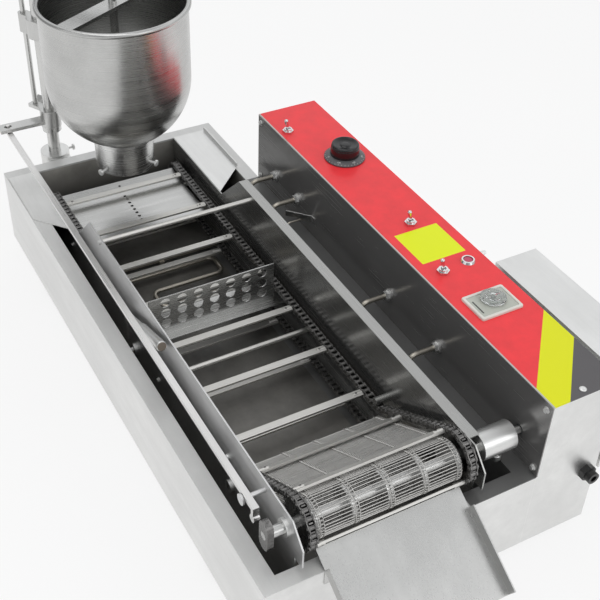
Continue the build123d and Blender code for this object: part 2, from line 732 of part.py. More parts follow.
def thermostat_knob():
    x, y = panel_place(KNOB_AT)
    base = PANEL_TOP + CLEAR
    skirt_r = KNOB_SKIRT_D / 2
    skirt = Pos(x, y, base + KNOB_SKIRT_H / 2) * Cone(skirt_r, skirt_r - SHEET, KNOB_SKIRT_H)
    grip = Pos(x, y, base + KNOB_H / 2) * Cone(KNOB_D / 2 + SHEET, KNOB_D / 2, KNOB_H)
    grip = fillet(grip.edges().sort_by(Axis.Z)[-1], SHEET)
    stem = rod_z(PANEL_UNDER - STEM_DEPTH + SHEET, base, x, y, KNOB_STEM_D)
    return skirt + grip + stem


def timer_dial_place():
    x, y = panel_place(TIMER_AT)
    return x - TIMER_DIAL_SHIFT, y + TIMER_DIAL_SHIFT


def timer_case():
    x, y = panel_place(TIMER_AT)
    top = PANEL_TOP + TIMER_H
    bezel = block(x - TIMER_W / 2, x + TIMER_W / 2, y - TIMER_D / 2, y + TIMER_D / 2, PANEL_TOP, top)
    bezel = fillet(bezel.edges().filter_by(Axis.Z), TIMER_LIP)
    half_x, half_y = TIMER_W / 2 - TIMER_LIP, TIMER_D / 2 - TIMER_LIP
    body = block(x - half_x, x + half_x, y - half_y, y + half_y, PANEL_UNDER - TIMER_BODY_H, PANEL_TOP)
    bore = rod_z(PANEL_TOP - STEM_DEPTH, top + OVERCUT, *timer_dial_place(), TIMER_STEM_D + 2 * RUN_GAP)
    return bezel + body - bore


def timer_dial():
    x, y = timer_dial_place()
    base = PANEL_TOP + TIMER_H + CLEAR
    radius = TIMER_DIAL_D / 2
    disc = Pos(x, y, base + TIMER_DIAL_H / 2) * Cone(radius, radius - SHEET, TIMER_DIAL_H)
    disc = fillet(disc.edges().sort_by(Axis.Z)[-1], SHEET)
    return disc + rod_z(PANEL_TOP - STEM_DEPTH + SHEET, base, x, y, TIMER_STEM_D)


def lamp_ring():
    x, y = panel_place(LAMP_AT)
    ring = Pos(x, y, PANEL_TOP + LAMP_RING_H / 2) * Cone(LAMP_D / 2, LAMP_D / 2 - SHEET, LAMP_RING_H)
    body = rod_z(PANEL_UNDER - LAMP_BODY_L, PANEL_TOP, x, y, LAMP_LENS_D)
    return ring + body - rod_z(PANEL_TOP, PANEL_TOP + LAMP_RING_H + OVERCUT, x, y, LAMP_LENS_D - 2 * SHEET)


def lamp_lens():
    x, y = panel_place(LAMP_AT)
    lens = rod_z(PANEL_TOP, PANEL_TOP + LAMP_LENS_H, x, y, LAMP_LENS_D - 2 * SHEET - 2 * RUN_GAP)
    return fillet(lens.edges().sort_by(Axis.Z)[-1], SHEET)


# Heating
def tube(points, radius, d):
    """Round tube or rod along straight runs with tangent bends."""
    path = FilletPolyline(*points, radius=radius)
    start = Plane(origin=path @ 0, z_dir=path % 0)
    return sweep(start * Circle(d / 2), path=path)


def heater(first_x, entry_x, last_x, step):
    """Bent heating tube between two glands: along the rear wall, then in loops under the conveyor."""
    lead = FACE_BACK + HEATER_LEAD
    top = RIM + HEATER_RISE
    step_y = HEATER_FRONT_Y + HEATER_STEP
    far_x, near_x = last_x + 2 * step, last_x + step
    return tube([
        (first_x, lead, top), (first_x, HEATER_LEG_Y, top), (first_x, HEATER_LEG_Y, HEATER_Z),
        (entry_x, HEATER_LEG_Y, HEATER_Z), (entry_x, HEATER_FRONT_Y, HEATER_Z),
        (far_x, HEATER_FRONT_Y, HEATER_Z), (far_x, HEATER_LOOP_Y, HEATER_Z),
        (near_x, HEATER_LOOP_Y, HEATER_Z), (near_x, step_y, HEATER_Z), (last_x, step_y, HEATER_Z),
        (last_x, HEATER_LEG_Y, HEATER_Z), (last_x, HEATER_LEG_Y, top), (last_x, lead, top),
    ], HEATER_BEND, HEATER_D)


def heater_saddle(x):
    """Block on the tank floor that carries a leg of a heating tube."""
    y = (HEATER_FRONT_Y + HEATER_LOOP_Y) / 2
    saddle = block(x - HEATER_D, x + HEATER_D, y, y + SADDLE_W, TANK_FLOOR, HEATER_Z)
    return saddle - rod_y(y - OVERCUT, y + SADDLE_W + OVERCUT, x, HEATER_Z, HEATER_D + 2 * RUN_GAP)


def heater_elements():
    """Two heating tubes with the saddles under their legs."""
    left = heater(HEATER_XS[0], HEATER_ENTRIES[0], HEATER_XS[1], -HEATER_STEP)
    right = heater(HEATER_XS[2], HEATER_ENTRIES[1], HEATER_XS[3], HEATER_STEP)
    return group([left, right] + [heater_saddle(x) for x in HEATER_CROSSINGS])


def heater_glands():
    glands = []
    z = RIM + HEATER_RISE
    for x in HEATER_XS:
        seat = CABINET_FRONT - HEATER_FLANGE_T
        flange = rod_y(seat, CABINET_FRONT, x, z, HEATER_FLANGE_D)
        face = Plane((x, seat, z), x_dir=(1, 0, 0), z_dir=(0, -1, 0))
        nut = extrude(face * RegularPolygon(HEATER_NUT_W / 2, 6), HEATER_NUT_H)
        glands.append(flange + nut - rod_y(0, CABINET_REAR, x, z, HEATER_D + 2 * RUN_GAP))
    return group(glands)


def thermostat_probe():
    """Capillary over the rear rim and its bulb beside the rear plate."""
    x, top, low = CABINET_LEFT + PROBE_FROM_LEFT, RIM + PROBE_RISE, RIM - BULB_DEPTH
    wire = tube([(x, FACE_BACK + HEATER_LEAD, top), (x, PROBE_Y, top), (x, PROBE_Y, low),
                 (x + PROBE_D * 6, PROBE_Y, low)], PROBE_D * 3, PROBE_D)
    return wire + rod_x(x + PROBE_D * 5, x + PROBE_D * 5 + BULB_LENGTH, PROBE_Y, low, BULB_D)


# Conveyor frame
HOLD_DOWN = on_circle(BEND_CENTRE, BEND_R - LINK_H / 2 - CLEAR - STUD_D / 2, INCLINE / 2 - 90)
SHAFT_PLACES = [
    (DRIVE, SHAFT_D), (TAIL, TAIL_SHAFT_D), (IDLER, IDLER_SHAFT_D),
    ((FLIPPER_X, FLIPPER_Z), FLIPPER_SHAFT_D),
]


def plate_outline():
    """Side plate in x and z: low at the hopper end, high over the bath, cut away over the right rim."""
    left = END_RIM + PLATE_GAP
    right = TANK_RIGHT - PLATE_GAP
    end = right + END_RIM + PLATE_GAP - SHEET - PLATE_CORNER / 4
    low, top = RIM + PLATE_LOW, RIM + PLATE_RISE
    return Polygon(
        (left, TANK_FLOOR), (right, TANK_FLOOR), (right, RIM + PLATE_OVERHANG),
        (end, RIM + PLATE_OVERHANG), (end, top - PLATE_CORNER), (end - PLATE_CORNER, top),
        (SLANT_LEFT + SLANT_RUN, top), (SLANT_LEFT, low), (left, low), align=None)


def plate_cuts(y0, y1):
    """Holes for the shaft bushes."""
    cuts = []
    for (x, z), d in SHAFT_PLACES:
        cuts.append(rod_y(y0 - OVERCUT, y1 + OVERCUT, x, z, d + 2 * BUSH_WALL + 2 * RUN_GAP))
    return cuts


def hold_down(y0, y1):
    """Stud that holds the chain down where it starts to climb."""
    return rod_y(y0, y1, *HOLD_DOWN, STUD_D)


def chain_rails(y0, y1):
    """Level and climbing ledges that the chain runs on."""
    drop = LINK_H / 2 + CLEAR
    start = TAIL[0] + TAIL_R + FLIGHT_BOSS_D * 2
    bend = BEND_CENTRE[0]
    level = block(start, bend, y0, y1, UPPER_Z - drop - RAIL_T, UPPER_Z - drop)
    top = on_circle(DRIVE, DRIVE_R - drop, 90 + INCLINE)
    foot = on_circle(BEND_CENTRE, BEND_R + drop, INCLINE - 90)
    length = hypot(top[0] - foot[0], top[1] - foot[1]) - 2 * DRIVE_R
    ledge = block(LINK_H, LINK_H + length, y0, y1, -RAIL_T, 0)
    return level + Pos(foot[0], 0, foot[1]) * Rot(0, -INCLINE, 0) * ledge


def front_plate():
    outer, inner = FRAME_FRONT - PLATE_T, FRAME_FRONT
    plate = side_sheet(plate_outline(), outer, inner) - plate_cuts(outer, inner)
    chain_y = CHAIN_YS[0]
    plate += hold_down(inner, chain_y + CHAIN_HALF)
    plate += chain_rails(inner, chain_y + ROLLER_W / 2)
    guide_front = LINK_Y - LINK_W / 2 - CLEAR
    guide = (HOUSING_L - GUIDE_FROM_END, LINK_Z - LINK_BAR_T / 2 - CLEAR - GUIDE_D / 2)
    plate += rod_y(guide_front, outer, *guide, GUIDE_D)
    return plate + rod_y(guide_front - GUIDE_HEAD_H, guide_front, *guide, GUIDE_HEAD_D)


def rear_plate():
    inner, outer = FRAME_REAR, FRAME_REAR + PLATE_T
    plate = side_sheet(plate_outline(), inner, outer) - plate_cuts(inner, outer)
    top = RIM + PLATE_RISE
    flange_end = TANK_RIGHT - PLATE_CORNER
    plate += block(SLANT_LEFT + SLANT_RUN, flange_end, inner, outer + FLANGE_W, top - PLATE_T, top)
    for x in HEATER_CROSSINGS:
        half = HEATER_D / 2 + NOTCH_PLAY
        plate -= block(x - half, x + half, inner - OVERCUT, outer + OVERCUT, TANK_FLOOR - OVERCUT,
                       HEATER_Z + half)
    chain_y = CHAIN_YS[1]
    plate += hold_down(chain_y - CHAIN_HALF, inner)
    plate += chain_rails(chain_y - ROLLER_W / 2, inner)
    return plate


def front_wing():
    left = END_RIM
    outline = Polygon((left, SHEET), (WING_FRONT_RUN, SHEET), (WING_INNER_RUN, FRAME_FRONT - PLATE_T),
                      (left, FRAME_FRONT - PLATE_T), align=None)
    return flat_sheet(outline, RIM, RIM + WING_T)


def rear_wing():
    left, inner = END_RIM, FRAME_REAR + PLATE_T
    outline = Polygon((left, inner), (WING_INNER_RUN, inner), (WING_REAR_RUN, WING_REAR_Y),
                      (left, WING_REAR_Y), align=None)
    lip = block(left, WING_REAR_RUN, WING_REAR_Y - WING_T, WING_REAR_Y, RIM, RIM + WING_LIP)
    return flat_sheet(outline, RIM, RIM + WING_T) + lip


def tie_rods():
    return group([rod_y(FRAME_FRONT, FRAME_REAR, x, z, TIE_D) for x, z in TIE_PLACES])


def shaft_bushes():
    length = PLATE_T + BUSH_OUT
    bushes = []
    for (x, z), d in SHAFT_PLACES:
        bore = rod_y(FRAME_FRONT - length - OVERCUT, FRAME_REAR + length + OVERCUT, x, z, d + 2 * RUN_GAP)
        for y in (FRAME_FRONT - length, FRAME_REAR):
            bushes.append(rod_y(y, y + length, x, z, d + 2 * BUSH_WALL) - bore)
    return group(bushes)


def drop_plate():
    """Perforated plate under the outlet, on two tie rods, with its left edge turned up."""
    front, rear = FRAME_FRONT + DROP_EDGE, FRAME_REAR - DROP_EDGE
    lip, right, lip_top = DROP_LEFT - DROP_LIP, DROP_LEFT + DROP_L, DROP_TOP + DROP_LIP_RISE
    under = DROP_TOP - SHEET
    outline = Polygon((lip, lip_top), (DROP_LEFT, DROP_TOP), (right, DROP_TOP), (right, under),
                      (DROP_LEFT, under), (lip, lip_top - SHEET), align=None)
    holes = []
    for k in range(DROP_HOLES):
        x = DROP_HOLE_LEFT + DROP_HOLE_PITCH * k
        holes.append(rod_z(under - OVERCUT, DROP_TOP + OVERCUT, x, FRAME_MID - DROP_HOLE_SHIFT, DROP_HOLE_D))
    return side_sheet(outline, front, rear) - holes


# Chains, shafts and belt
def sprocket(centre, teeth, radius, phase, y):
    """Toothed disc whose seats lie under the chain's rollers."""
    seat_r = ROLLER_D / 2 + SEAT_GAP
    tip = radius + TOOTH_H
    outside = tip + TOOTH_H
    mouth = Polygon((radius, -seat_r), (outside, -seat_r - TOOTH_FLARE), (outside, seat_r + TOOTH_FLARE),
                    (radius, seat_r), align=None)
    seat = Pos(radius, 0) * Circle(seat_r) + mouth
    disc = Circle(tip) - [Rot(0, 0, phase + 360 / teeth * k) * seat for k in range(teeth)]
    return side_sheet(Pos(*centre) * disc, y - SPROCKET_W / 2, y + SPROCKET_W / 2)


def drive_sprockets():
    bore = rod_y(FRAME_FRONT, FRAME_REAR, *DRIVE, SHAFT_D)
    return group([sprocket(DRIVE, DRIVE_TEETH, DRIVE_R, seat_phase(1), y) - bore for y in CHAIN_YS])


def belt_wheels():
    bore = rod_y(FRAME_FRONT, FRAME_REAR, *DRIVE, SHAFT_D)
    half = BELT_STRIP_W / 2 + SHEET
    return group([rod_y(y - half, y + half, *DRIVE, 2 * (BELT_WHEEL_R - CLEAR)) - bore for y in BELT_YS])


def drive_shaft():
    shaft = rod_y(CAM_FRONT + CAM_T, COUPLING_MID - CLEAR, *DRIVE, SHAFT_D)
    return shaft + rod_y(CAM_FRONT, CAM_FRONT + CAM_T, *DRIVE, CAM_BORE)


def feed_cam():
    """Two-lobed cam, with its low side to the link bar."""
    outline = Rot(0, 0, 90) * SlotOverall(2 * CAM_HIGH, 2 * CAM_LOW) - Circle(CAM_BORE / 2)
    return side_sheet(Pos(*DRIVE) * outline, CAM_FRONT, CAM_FRONT + CAM_T)


def motor_shaft():
    return rod_y(COUPLING_MID + CLEAR, MOTOR_FRONT - STEM_DEPTH, *DRIVE, MOTOR_SHAFT_D)


def shaft_coupling():
    sleeve = rod_y(COUPLING_FRONT, COUPLING_REAR, *DRIVE, COUPLING_D)
    sleeve -= rod_y(COUPLING_FRONT - OVERCUT, COUPLING_MID, *DRIVE, SHAFT_D)
    sleeve -= rod_y(COUPLING_MID, COUPLING_REAR + OVERCUT, *DRIVE, MOTOR_SHAFT_D)
    return sleeve - rod_z(DRIVE[1] - COUPLING_D, DRIVE[1], DRIVE[0], COUPLING_SCREW_Y, COUPLING_SCREW_D)


def coupling_screw():
    """Thumb screw that clamps the motor shaft."""
    tip = DRIVE[1] - MOTOR_SHAFT_D / 2
    end = DRIVE[1] - COUPLING_D / 2 - COUPLING_SCREW_L
    stem = rod_z(end, tip, DRIVE[0], COUPLING_SCREW_Y, COUPLING_SCREW_D)
    head = rod_z(end, end + COUPLING_SCREW_L / 2, DRIVE[0], COUPLING_SCREW_Y, COUPLING_HEAD_D)
    screw = stem + fillet(head.edges().filter_by(GeomType.CIRCLE), SHEET)
    return screw - rod_y(FRAME_REAR, CABINET_REAR, *DRIVE, MOTOR_SHAFT_D)


def tail_sprockets():
    """Two tail sprockets, each welded on a short stub shaft in its side plate."""
    beyond = PLATE_T + 2 * BUSH_OUT
    stubs = ((FRAME_FRONT - beyond, CHAIN_YS[0]), (CHAIN_YS[1], FRAME_REAR + beyond))
    wheels = []
    for chain_y, (start, end) in zip(CHAIN_YS, stubs):
        stub = rod_y(start, end, *TAIL, TAIL_SHAFT_D)
        wheels.append(stub + sprocket(TAIL, TAIL_TEETH, TAIL_R, seat_phase(3), chain_y))
    return group(wheels)


def chain(y, inwards):
    """Roller chain: link bands, rollers, and the longer pins that carry the push bars."""
    pieces = []
    for side in (-1, 1):
        near, far = sorted((y + side * ROLLER_W / 2, y + side * CHAIN_HALF))
        pieces.append(loop_band(CHAIN, -LINK_H / 2, LINK_H / 2, near, far))
    for k in range(LINKS):
        x, z = loop_point(CHAIN, CHAIN_PHASE + k * PITCH)
        pieces.append(rod_y(y - ROLLER_W / 2, y + ROLLER_W / 2, x, z, ROLLER_D))
        if k % FLIGHT_LINKS == 0:
            near, far = sorted((y + inwards * CHAIN_HALF, y + inwards * (CHAIN_HALF + FLIGHT_PIN_L)))
            pieces.append(rod_y(near, far, x, z, FLIGHT_PIN_D))
    return group(pieces)


def flight_bars():
    """Flat push bars between the chains, with a bored boss at both ends for the chain pins."""
    front, rear = CHAIN_YS[0] + CHAIN_HALF + CLEAR, CHAIN_YS[1] - CHAIN_HALF - CLEAR
    bar = block(-FLIGHT_W / 2, FLIGHT_W / 2, front, rear, -FLIGHT_T / 2, FLIGHT_T / 2)
    for y0, y1 in ((front, front + FLIGHT_BOSS_L), (rear - FLIGHT_BOSS_L, rear)):
        bar += rod_y(y0, y1, 0, 0, FLIGHT_BOSS_D)
    for y0, y1 in ((front - OVERCUT, front + FLIGHT_PIN_L), (rear - FLIGHT_PIN_L, rear + OVERCUT)):
        bar -= rod_y(y0, y1, 0, 0, FLIGHT_PIN_D + 2 * RUN_GAP)
    bars = []
    for k in range(FLIGHTS):
        distance = CHAIN_PHASE + k * FLIGHT_LINKS * PITCH
        x, z = loop_point(CHAIN, distance)
        out_x, out_z = loop_point(CHAIN, distance, 1)
        bars.append(Pos(x, 0, z) * Rot(0, degrees(atan2(out_x - x, out_z - z)), 0) * bar)
    return group(bars)


def wire_belt():
    """Cross wires on narrow strips, round the drive wheels and the idler."""
    half = BELT_STRIP_W / 2
    pieces = [loop_band(BELT, 0, BELT_STRIP_T, y - half, y + half) for y in BELT_YS]
    length = loop_length(BELT)
    wires = round(length / BELT_PITCH)
    lift = BELT_STRIP_T + BELT_WIRE_D / 2
    for k in range(wires):
        x, z = loop_point(BELT, length * k / wires, lift)
        pieces.append(rod_y(BELT_FRONT, BELT_REAR, x, z, BELT_WIRE_D))
    return group(pieces)


def belt_idler():
    shaft = rod_y(FRAME_FRONT - PLATE_T - BUSH_OUT, FRAME_REAR + PLATE_T + BUSH_OUT, *IDLER, IDLER_SHAFT_D)
    half = BELT_STRIP_W / 2 + SHEET
    for y in BELT_YS:
        shaft += rod_y(y - half, y + half, *IDLER, 2 * (BELT_IDLER_R - CLEAR))
    return shaft


def discharge_chute():
    """Slide that hangs on the right rim and takes the donuts from the belt."""
    front, rear = FRAME_FRONT + CHUTE_EDGE, FRAME_REAR - CHUTE_EDGE
    back = -CHUTE_TOP / cos(radians(CHUTE_SLOPE))
    floor = block(back, CHUTE_L, front, rear, 0, SHEET)
    sides = [block(0, CHUTE_L, y, y + SHEET, 0, CHUTE_SIDE) for y in (front, rear - SHEET)]
    chute = Pos(HOUSING_L, 0, RIM) * Rot(0, CHUTE_SLOPE, 0) * (floor + sides)
    hook = block(HOUSING_L, HOUSING_L + SHEET, front, rear, RIM - CHUTE_TOP, RIM)
    return chute + hook


# Turn-over plate
def flipper_shaft():
    front = FRAME_FRONT - PLATE_T - BUSH_OUT - LEVER_GAP - LEVER_T
    return rod_y(front, FRAME_REAR + PLATE_T + BUSH_OUT, FLIPPER_X, FLIPPER_Z, FLIPPER_SHAFT_D)


def flipper_plate():
    """Upright perforated leaf welded on a flat leaf, which is seated on the shaft."""
    front, rear = FRAME_FRONT + FLIPPER_EDGE, FRAME_REAR - FLIPPER_EDGE
    half = FLIPPER_SHAFT_D / 2
    low, left = FLIPPER_Z + half, FLIPPER_X - half
    flat = block(left - FLIPPER_LEAF, left + FLIPPER_LIP, front, rear, low, low + FLIPPER_T)
    upright = block(left, left + FLIPPER_T, front, rear, low + FLIPPER_T, RIM + FLIPPER_RISE)
    pitch = (rear - front - FLIPPER_HOLE_FRONT - FLIPPER_HOLE_REAR) / (FLIPPER_COLUMNS - 1)
    holes = []
    for column in range(FLIPPER_COLUMNS):
        y = front + FLIPPER_HOLE_FRONT + pitch * column
        for row in range(FLIPPER_ROWS):
            z = low + FLIPPER_FIRST_RISE + FLIPPER_PITCH_Z * row
            holes.append(rod_x(left - OVERCUT, left + FLIPPER_T + OVERCUT, y, z, FLIPPER_HOLE_D))
    return group([flat, upright - holes])


def flipper_lever():
    """Bent hand lever on the front end of the turn-over shaft, with a round grip."""
    rear = FRAME_FRONT - PLATE_T - BUSH_OUT - LEVER_GAP
    front = rear - LEVER_T
    elbow = FLIPPER_Z + LEVER_ARM
    hub = rod_y(front, rear, FLIPPER_X, FLIPPER_Z, LEVER_HUB_D)
    arm = block(FLIPPER_X - LEVER_T, FLIPPER_X + LEVER_T, front, rear, FLIPPER_Z, elbow + LEVER_T)
    bar = block(0, LEVER_L - GRIP_L, front, rear, -LEVER_T, LEVER_T)
    grip = rod_x(LEVER_L - GRIP_L, LEVER_L, (front + rear) / 2, 0, GRIP_D)
    grip = fillet(grip.edges().filter_by(GeomType.CIRCLE), SHEET)
    lever = hub + arm + Pos(FLIPPER_X, 0, elbow) * Rot(0, -LEVER_ANGLE, 0) * (bar + grip)
    return lever - rod_y(front - OVERCUT, rear + OVERCUT, FLIPPER_X, FLIPPER_Z, FLIPPER_SHAFT_D)


# Column and depositor
def at_column(shape):
    """Move a shape from a frame at the column, with x towards the hopper."""
    return Pos(COLUMN_X, COLUMN_Y, 0) * Rot(0, 0, ROCKER_TURN) * shape


def column_socket():
    top, low = RIM + SOCKET_RISE, RIM - SOCKET_H
    cup = rod_z(low, top, COLUMN_X, COLUMN_Y, SOCKET_D)
    pad = block(COLUMN_X, 0, COLUMN_Y - SOCKET_PAD_W / 2, COLUMN_Y + SOCKET_PAD_W / 2, low, RIM - SHEET)
    bore = rod_z(low + SOCKET_FLOOR, top + OVERCUT, COLUMN_X, COLUMN_Y, COLUMN_D + 2 * RUN_GAP)
    screw = rod_y(COLUMN_Y, COLUMN_Y + SOCKET_D, COLUMN_X, RIM, THUMB_D)
    return cup + pad - bore - screw


def thumb_screw(length, d, head_d, head_h):
    """Thumb screw along y, with its tip at zero."""
    head = rod_y(length - head_h, length, 0, 0, head_d)
    return rod_y(0, length, 0, 0, d) + fillet(head.edges().filter_by(GeomType.CIRCLE), SHEET)


def column_screw():
    tip = COLUMN_Y + COLUMN_D / 2 + CLEAR
    length = (SOCKET_D - COLUMN_D) / 2 + THUMB_L
    return Pos(COLUMN_X, tip, RIM) * thumb_screw(length, THUMB_D, THUMB_HEAD_D, THUMB_HEAD_H)


def column():
    """Column with the shoulder for the swing arm and the fork for the rocker."""
    foot = RIM - SOCKET_H + SOCKET_FLOOR
    top = RIM + COLUMN_TOP
    post = rod_z(foot, top, COLUMN_X, COLUMN_Y, COLUMN_D)
    post += rod_z(SLEEVE_Z - CLEAR - SHOULDER_H, SLEEVE_Z - CLEAR, COLUMN_X, COLUMN_Y, SHOULDER_D)
    near = ROCKER_W / 2 + CLEAR
    fork = rod_z(top - EAR_T, top + EAR_T, 0, 0, 2 * (near + EAR_T))
    for side in (-1, 1):
        y0, y1 = sorted((side * near, side * (near + EAR_T)))
        fork += block(-ROCKER_H, ROCKER_H, y0, y1, top, ROCKER_Z + ROCKER_H)
    fork += rod_y(-near - EAR_T, near + EAR_T, 0, ROCKER_Z, ROCKER_PIN_D)
    return post + at_column(fork)


def hopper_clamp():
    """Clamp on the column that carries the bowl and guides the push rod."""
    low, high = RIM + CLAMP_RISE, RIM + CLAMP_RISE + CLAMP_H
    ring = rod_z(low, high, 0, 0, CLAMP_D)
    arm = block(0, ROCKER_REACH, -CLAMP_W / 2, CLAMP_W / 2, low, high)
    ear = block(-ROCKER_TAIL, 0, -PUSH_ROD_D, PUSH_ROD_D, low, high)
    ear += rod_z(low, high, -ROCKER_TAIL, 0, 2 * PUSH_ROD_D)
    clamp = ring + arm + ear
    for x, d in ((0, COLUMN_D), (ROCKER_REACH, BOWL_D), (-ROCKER_TAIL, PUSH_ROD_D + 2 * RUN_GAP)):
        clamp -= rod_z(low - OVERCUT, high + OVERCUT, x, 0, d)
    return at_column(clamp)


def hopper_bowl():
    """Round-bottomed bowl with a beaded edge and the bridge that guides the plunger."""
    neck, inner = OUTLET_D / 2 + RUN_GAP, BOWL_R - SHEET
    turn = BOWL_Z + sqrt(BOWL_R ** 2 - neck ** 2)
    seam = turn - sqrt(inner ** 2 - neck ** 2)
    face = make_face([
        ThreePointArc((neck, BOWL_Z), on_circle((0, turn), BOWL_R, -45), (BOWL_R, turn)),
        Line((BOWL_R, turn), (BOWL_R, BOWL_TOP)),
        Line((BOWL_R, BOWL_TOP), (inner, BOWL_TOP)),
        Line((inner, BOWL_TOP), (inner, turn)),
        ThreePointArc((inner, turn), on_circle((0, turn), inner, -45), (neck, seam)),
        Line((neck, seam), (neck, BOWL_Z)),
    ])
    bowl = revolve(Plane.XZ * face, Axis.Z)
    bowl += Pos(0, 0, BOWL_TOP) * Torus(BOWL_R, BOWL_BEAD_D / 2)
    reach = BOWL_R - SHEET / 2
    bridge = block(-BRIDGE_W / 2, BRIDGE_W / 2, -reach, reach, BOWL_TOP - BRIDGE_T, BOWL_TOP)
    bridge -= rod_z(BOWL_Z, BOWL_TOP + OVERCUT, 0, 0, PLUNGER_D + 2 * RUN_GAP)
    return Pos(HOPPER_X, HOPPER_Y, 0) * Rot(0, 0, ROCKER_TURN) * (bowl + bridge)


def hopper_outlet():
    tube_top = BOWL_Z + SHEET
    outlet = rod_z(OUTLET_Z, tube_top, HOPPER_X, HOPPER_Y, OUTLET_D)
    outlet += rod_z(BOWL_Z - 2 * SHEET, BOWL_Z, HOPPER_X, HOPPER_Y, OUTLET_D + 4 * SHEET)
    return outlet - rod_z(OUTLET_Z - OVERCUT, tube_top + OVERCUT, HOPPER_X, HOPPER_Y, OUTLET_BORE)


def outlet_screws():
    screw = thumb_screw(OUTLET_SCREW_L, OUTLET_SCREW_D, OUTLET_HEAD_D, OUTLET_HEAD_H)
    outlet = rod_z(OUTLET_Z, BOWL_Z, HOPPER_X, HOPPER_Y, OUTLET_D)
    screws = []
    for angle, rise in OUTLET_SCREWS:
        turn = Rot(0, 0, angle - 90)
        place = Pos(HOPPER_X, HOPPER_Y, OUTLET_Z + rise) * turn * Pos(0, OUTLET_D / 2 - SHEET / 2, 0)
        screws.append(place * screw - outlet)
    return group(screws)


def plunger():
    """Dosing plunger: piston in the outlet, ring former below it, rod with two lifting collars."""
    top = ROCKER_Z + ROCKER_H / 2 + COLLAR_PLAY + COLLAR_H
    rod = rod_z(OUTLET_Z, top, HOPPER_X, HOPPER_Y, PLUNGER_D)
    piston_z = OUTLET_Z + PISTON_UP
    piston = rod_z(piston_z, piston_z + PISTON_H, HOPPER_X, HOPPER_Y, OUTLET_BORE - 2 * CLEAR)
    former = rod_z(OUTLET_Z, OUTLET_Z + FORMER_H, HOPPER_X, HOPPER_Y, FORMER_D)
    under = ROCKER_Z - ROCKER_H / 2 - COLLAR_PLAY
    low_collar = rod_z(under - COLLAR_H, under, HOPPER_X, HOPPER_Y, COLLAR_D)
    high_collar = rod_z(top - COLLAR_H, top, HOPPER_X, HOPPER_Y, COLLAR_D)
    return rod + piston + former + low_collar + high_collar


def rocker():
    """Lever on the column that presses the plunger down when its tail is lifted."""
    low, high = ROCKER_Z - ROCKER_H / 2, ROCKER_Z + ROCKER_H / 2
    fork_half = ROCKER_FORK_W / 2
    fork_start = ROCKER_REACH - fork_half
    bar = block(-ROCKER_TAIL - PUSH_ROD_D, fork_start, -ROCKER_W / 2, ROCKER_W / 2, low, high)
    fork = block(fork_start, ROCKER_REACH + ROCKER_W / 2, -fork_half, fork_half, low, high)
    half = PLUNGER_D / 2 + ROCKER_SLOT_PLAY
    slot = block(ROCKER_REACH - half - ROCKER_SLOT_PLAY, ROCKER_REACH + ROCKER_W, -half, half,
                 low - OVERCUT, high + OVERCUT)
    eye = rod_y(-ROCKER_W, ROCKER_W, 0, ROCKER_Z, ROCKER_PIN_D + 2 * RUN_GAP)
    return at_column(bar + fork - slot - eye)


def push_rod():
    """Rod that lifts the rocker's tail from the ramp of the swing arm."""
    top = ROCKER_Z - ROCKER_H / 2 - CLEAR - PUSH_ROD_D / 2
    stem = rod_z(SLEEVE_TOP + CLEAR, top, -ROCKER_TAIL, 0, PUSH_ROD_D)
    return at_column(stem + Pos(-ROCKER_TAIL, 0, top) * Sphere(PUSH_ROD_D / 2))


def swing_arm():
    """Sleeve on the column with the arm to the link bar and the ramp under the push rod."""
    sleeve = rod_z(SLEEVE_Z, SLEEVE_TOP, COLUMN_X, COLUMN_Y, SLEEVE_D)
    half = ARM_W / 2
    arm = block(COLUMN_X - half, COLUMN_X + half, LINK_Y - ARM_TIP, COLUMN_Y, ARM_Z, ARM_Z + ARM_T)
    shelf = block(-ROCKER_TAIL - PUSH_ROD_D, 0, -PUSH_ROD_D, PUSH_ROD_D / 2 + CLEAR + RAMP_L,
                  SLEEVE_TOP - RAMP_T, SLEEVE_TOP)
    start = PUSH_ROD_D / 2 + CLEAR
    wedge = make_face(Polyline((start, SLEEVE_TOP), (start + RAMP_L, SLEEVE_TOP),
                               (start + RAMP_L, SLEEVE_TOP + RAMP_RISE), close=True))
    side = Plane((-ROCKER_TAIL - RAMP_W / 2, 0, 0), x_dir=(0, 1, 0), z_dir=(1, 0, 0))
    ramp = extrude(side * wedge, RAMP_W)
    body = sleeve + arm + at_column(shelf + ramp)
    body -= rod_z(SLEEVE_Z - OVERCUT, SLEEVE_TOP + RAMP_RISE + OVERCUT, COLUMN_X, COLUMN_Y,
                  COLUMN_D + 2 * RUN_GAP)
    slot = Pos(COLUMN_X, LINK_Y) * Rot(0, 0, 90) * SlotOverall(ARM_SLOT_L, LINK_PIN_D + 2 * ARM_SLOT_PLAY)
    return body - flat_sheet(slot, ARM_Z - OVERCUT, ARM_Z + ARM_T + OVERCUT)


def link_bar():
    """Long flat bar from the cam to the swing arm, with its end turned down to a round nose."""
    front, rear = LINK_Y - LINK_W / 2, LINK_Y + LINK_W / 2
    low = LINK_Z - LINK_BAR_T / 2
    bar = block(COLUMN_X - LINK_END, NOSE_X + NOSE_D / 4, front, rear, low, LINK_TOP)
    bar += block(NOSE_X - NOSE_D / 4, NOSE_X + NOSE_D / 4, front, rear, DRIVE[1], LINK_TOP)
    bar += rod_y(front, rear, NOSE_X, DRIVE[1], NOSE_D)
    bar += rod_z(LINK_TOP, LINK_TOP + LINK_PIN_L, COLUMN_X, LINK_Y, LINK_PIN_D)
    return bar


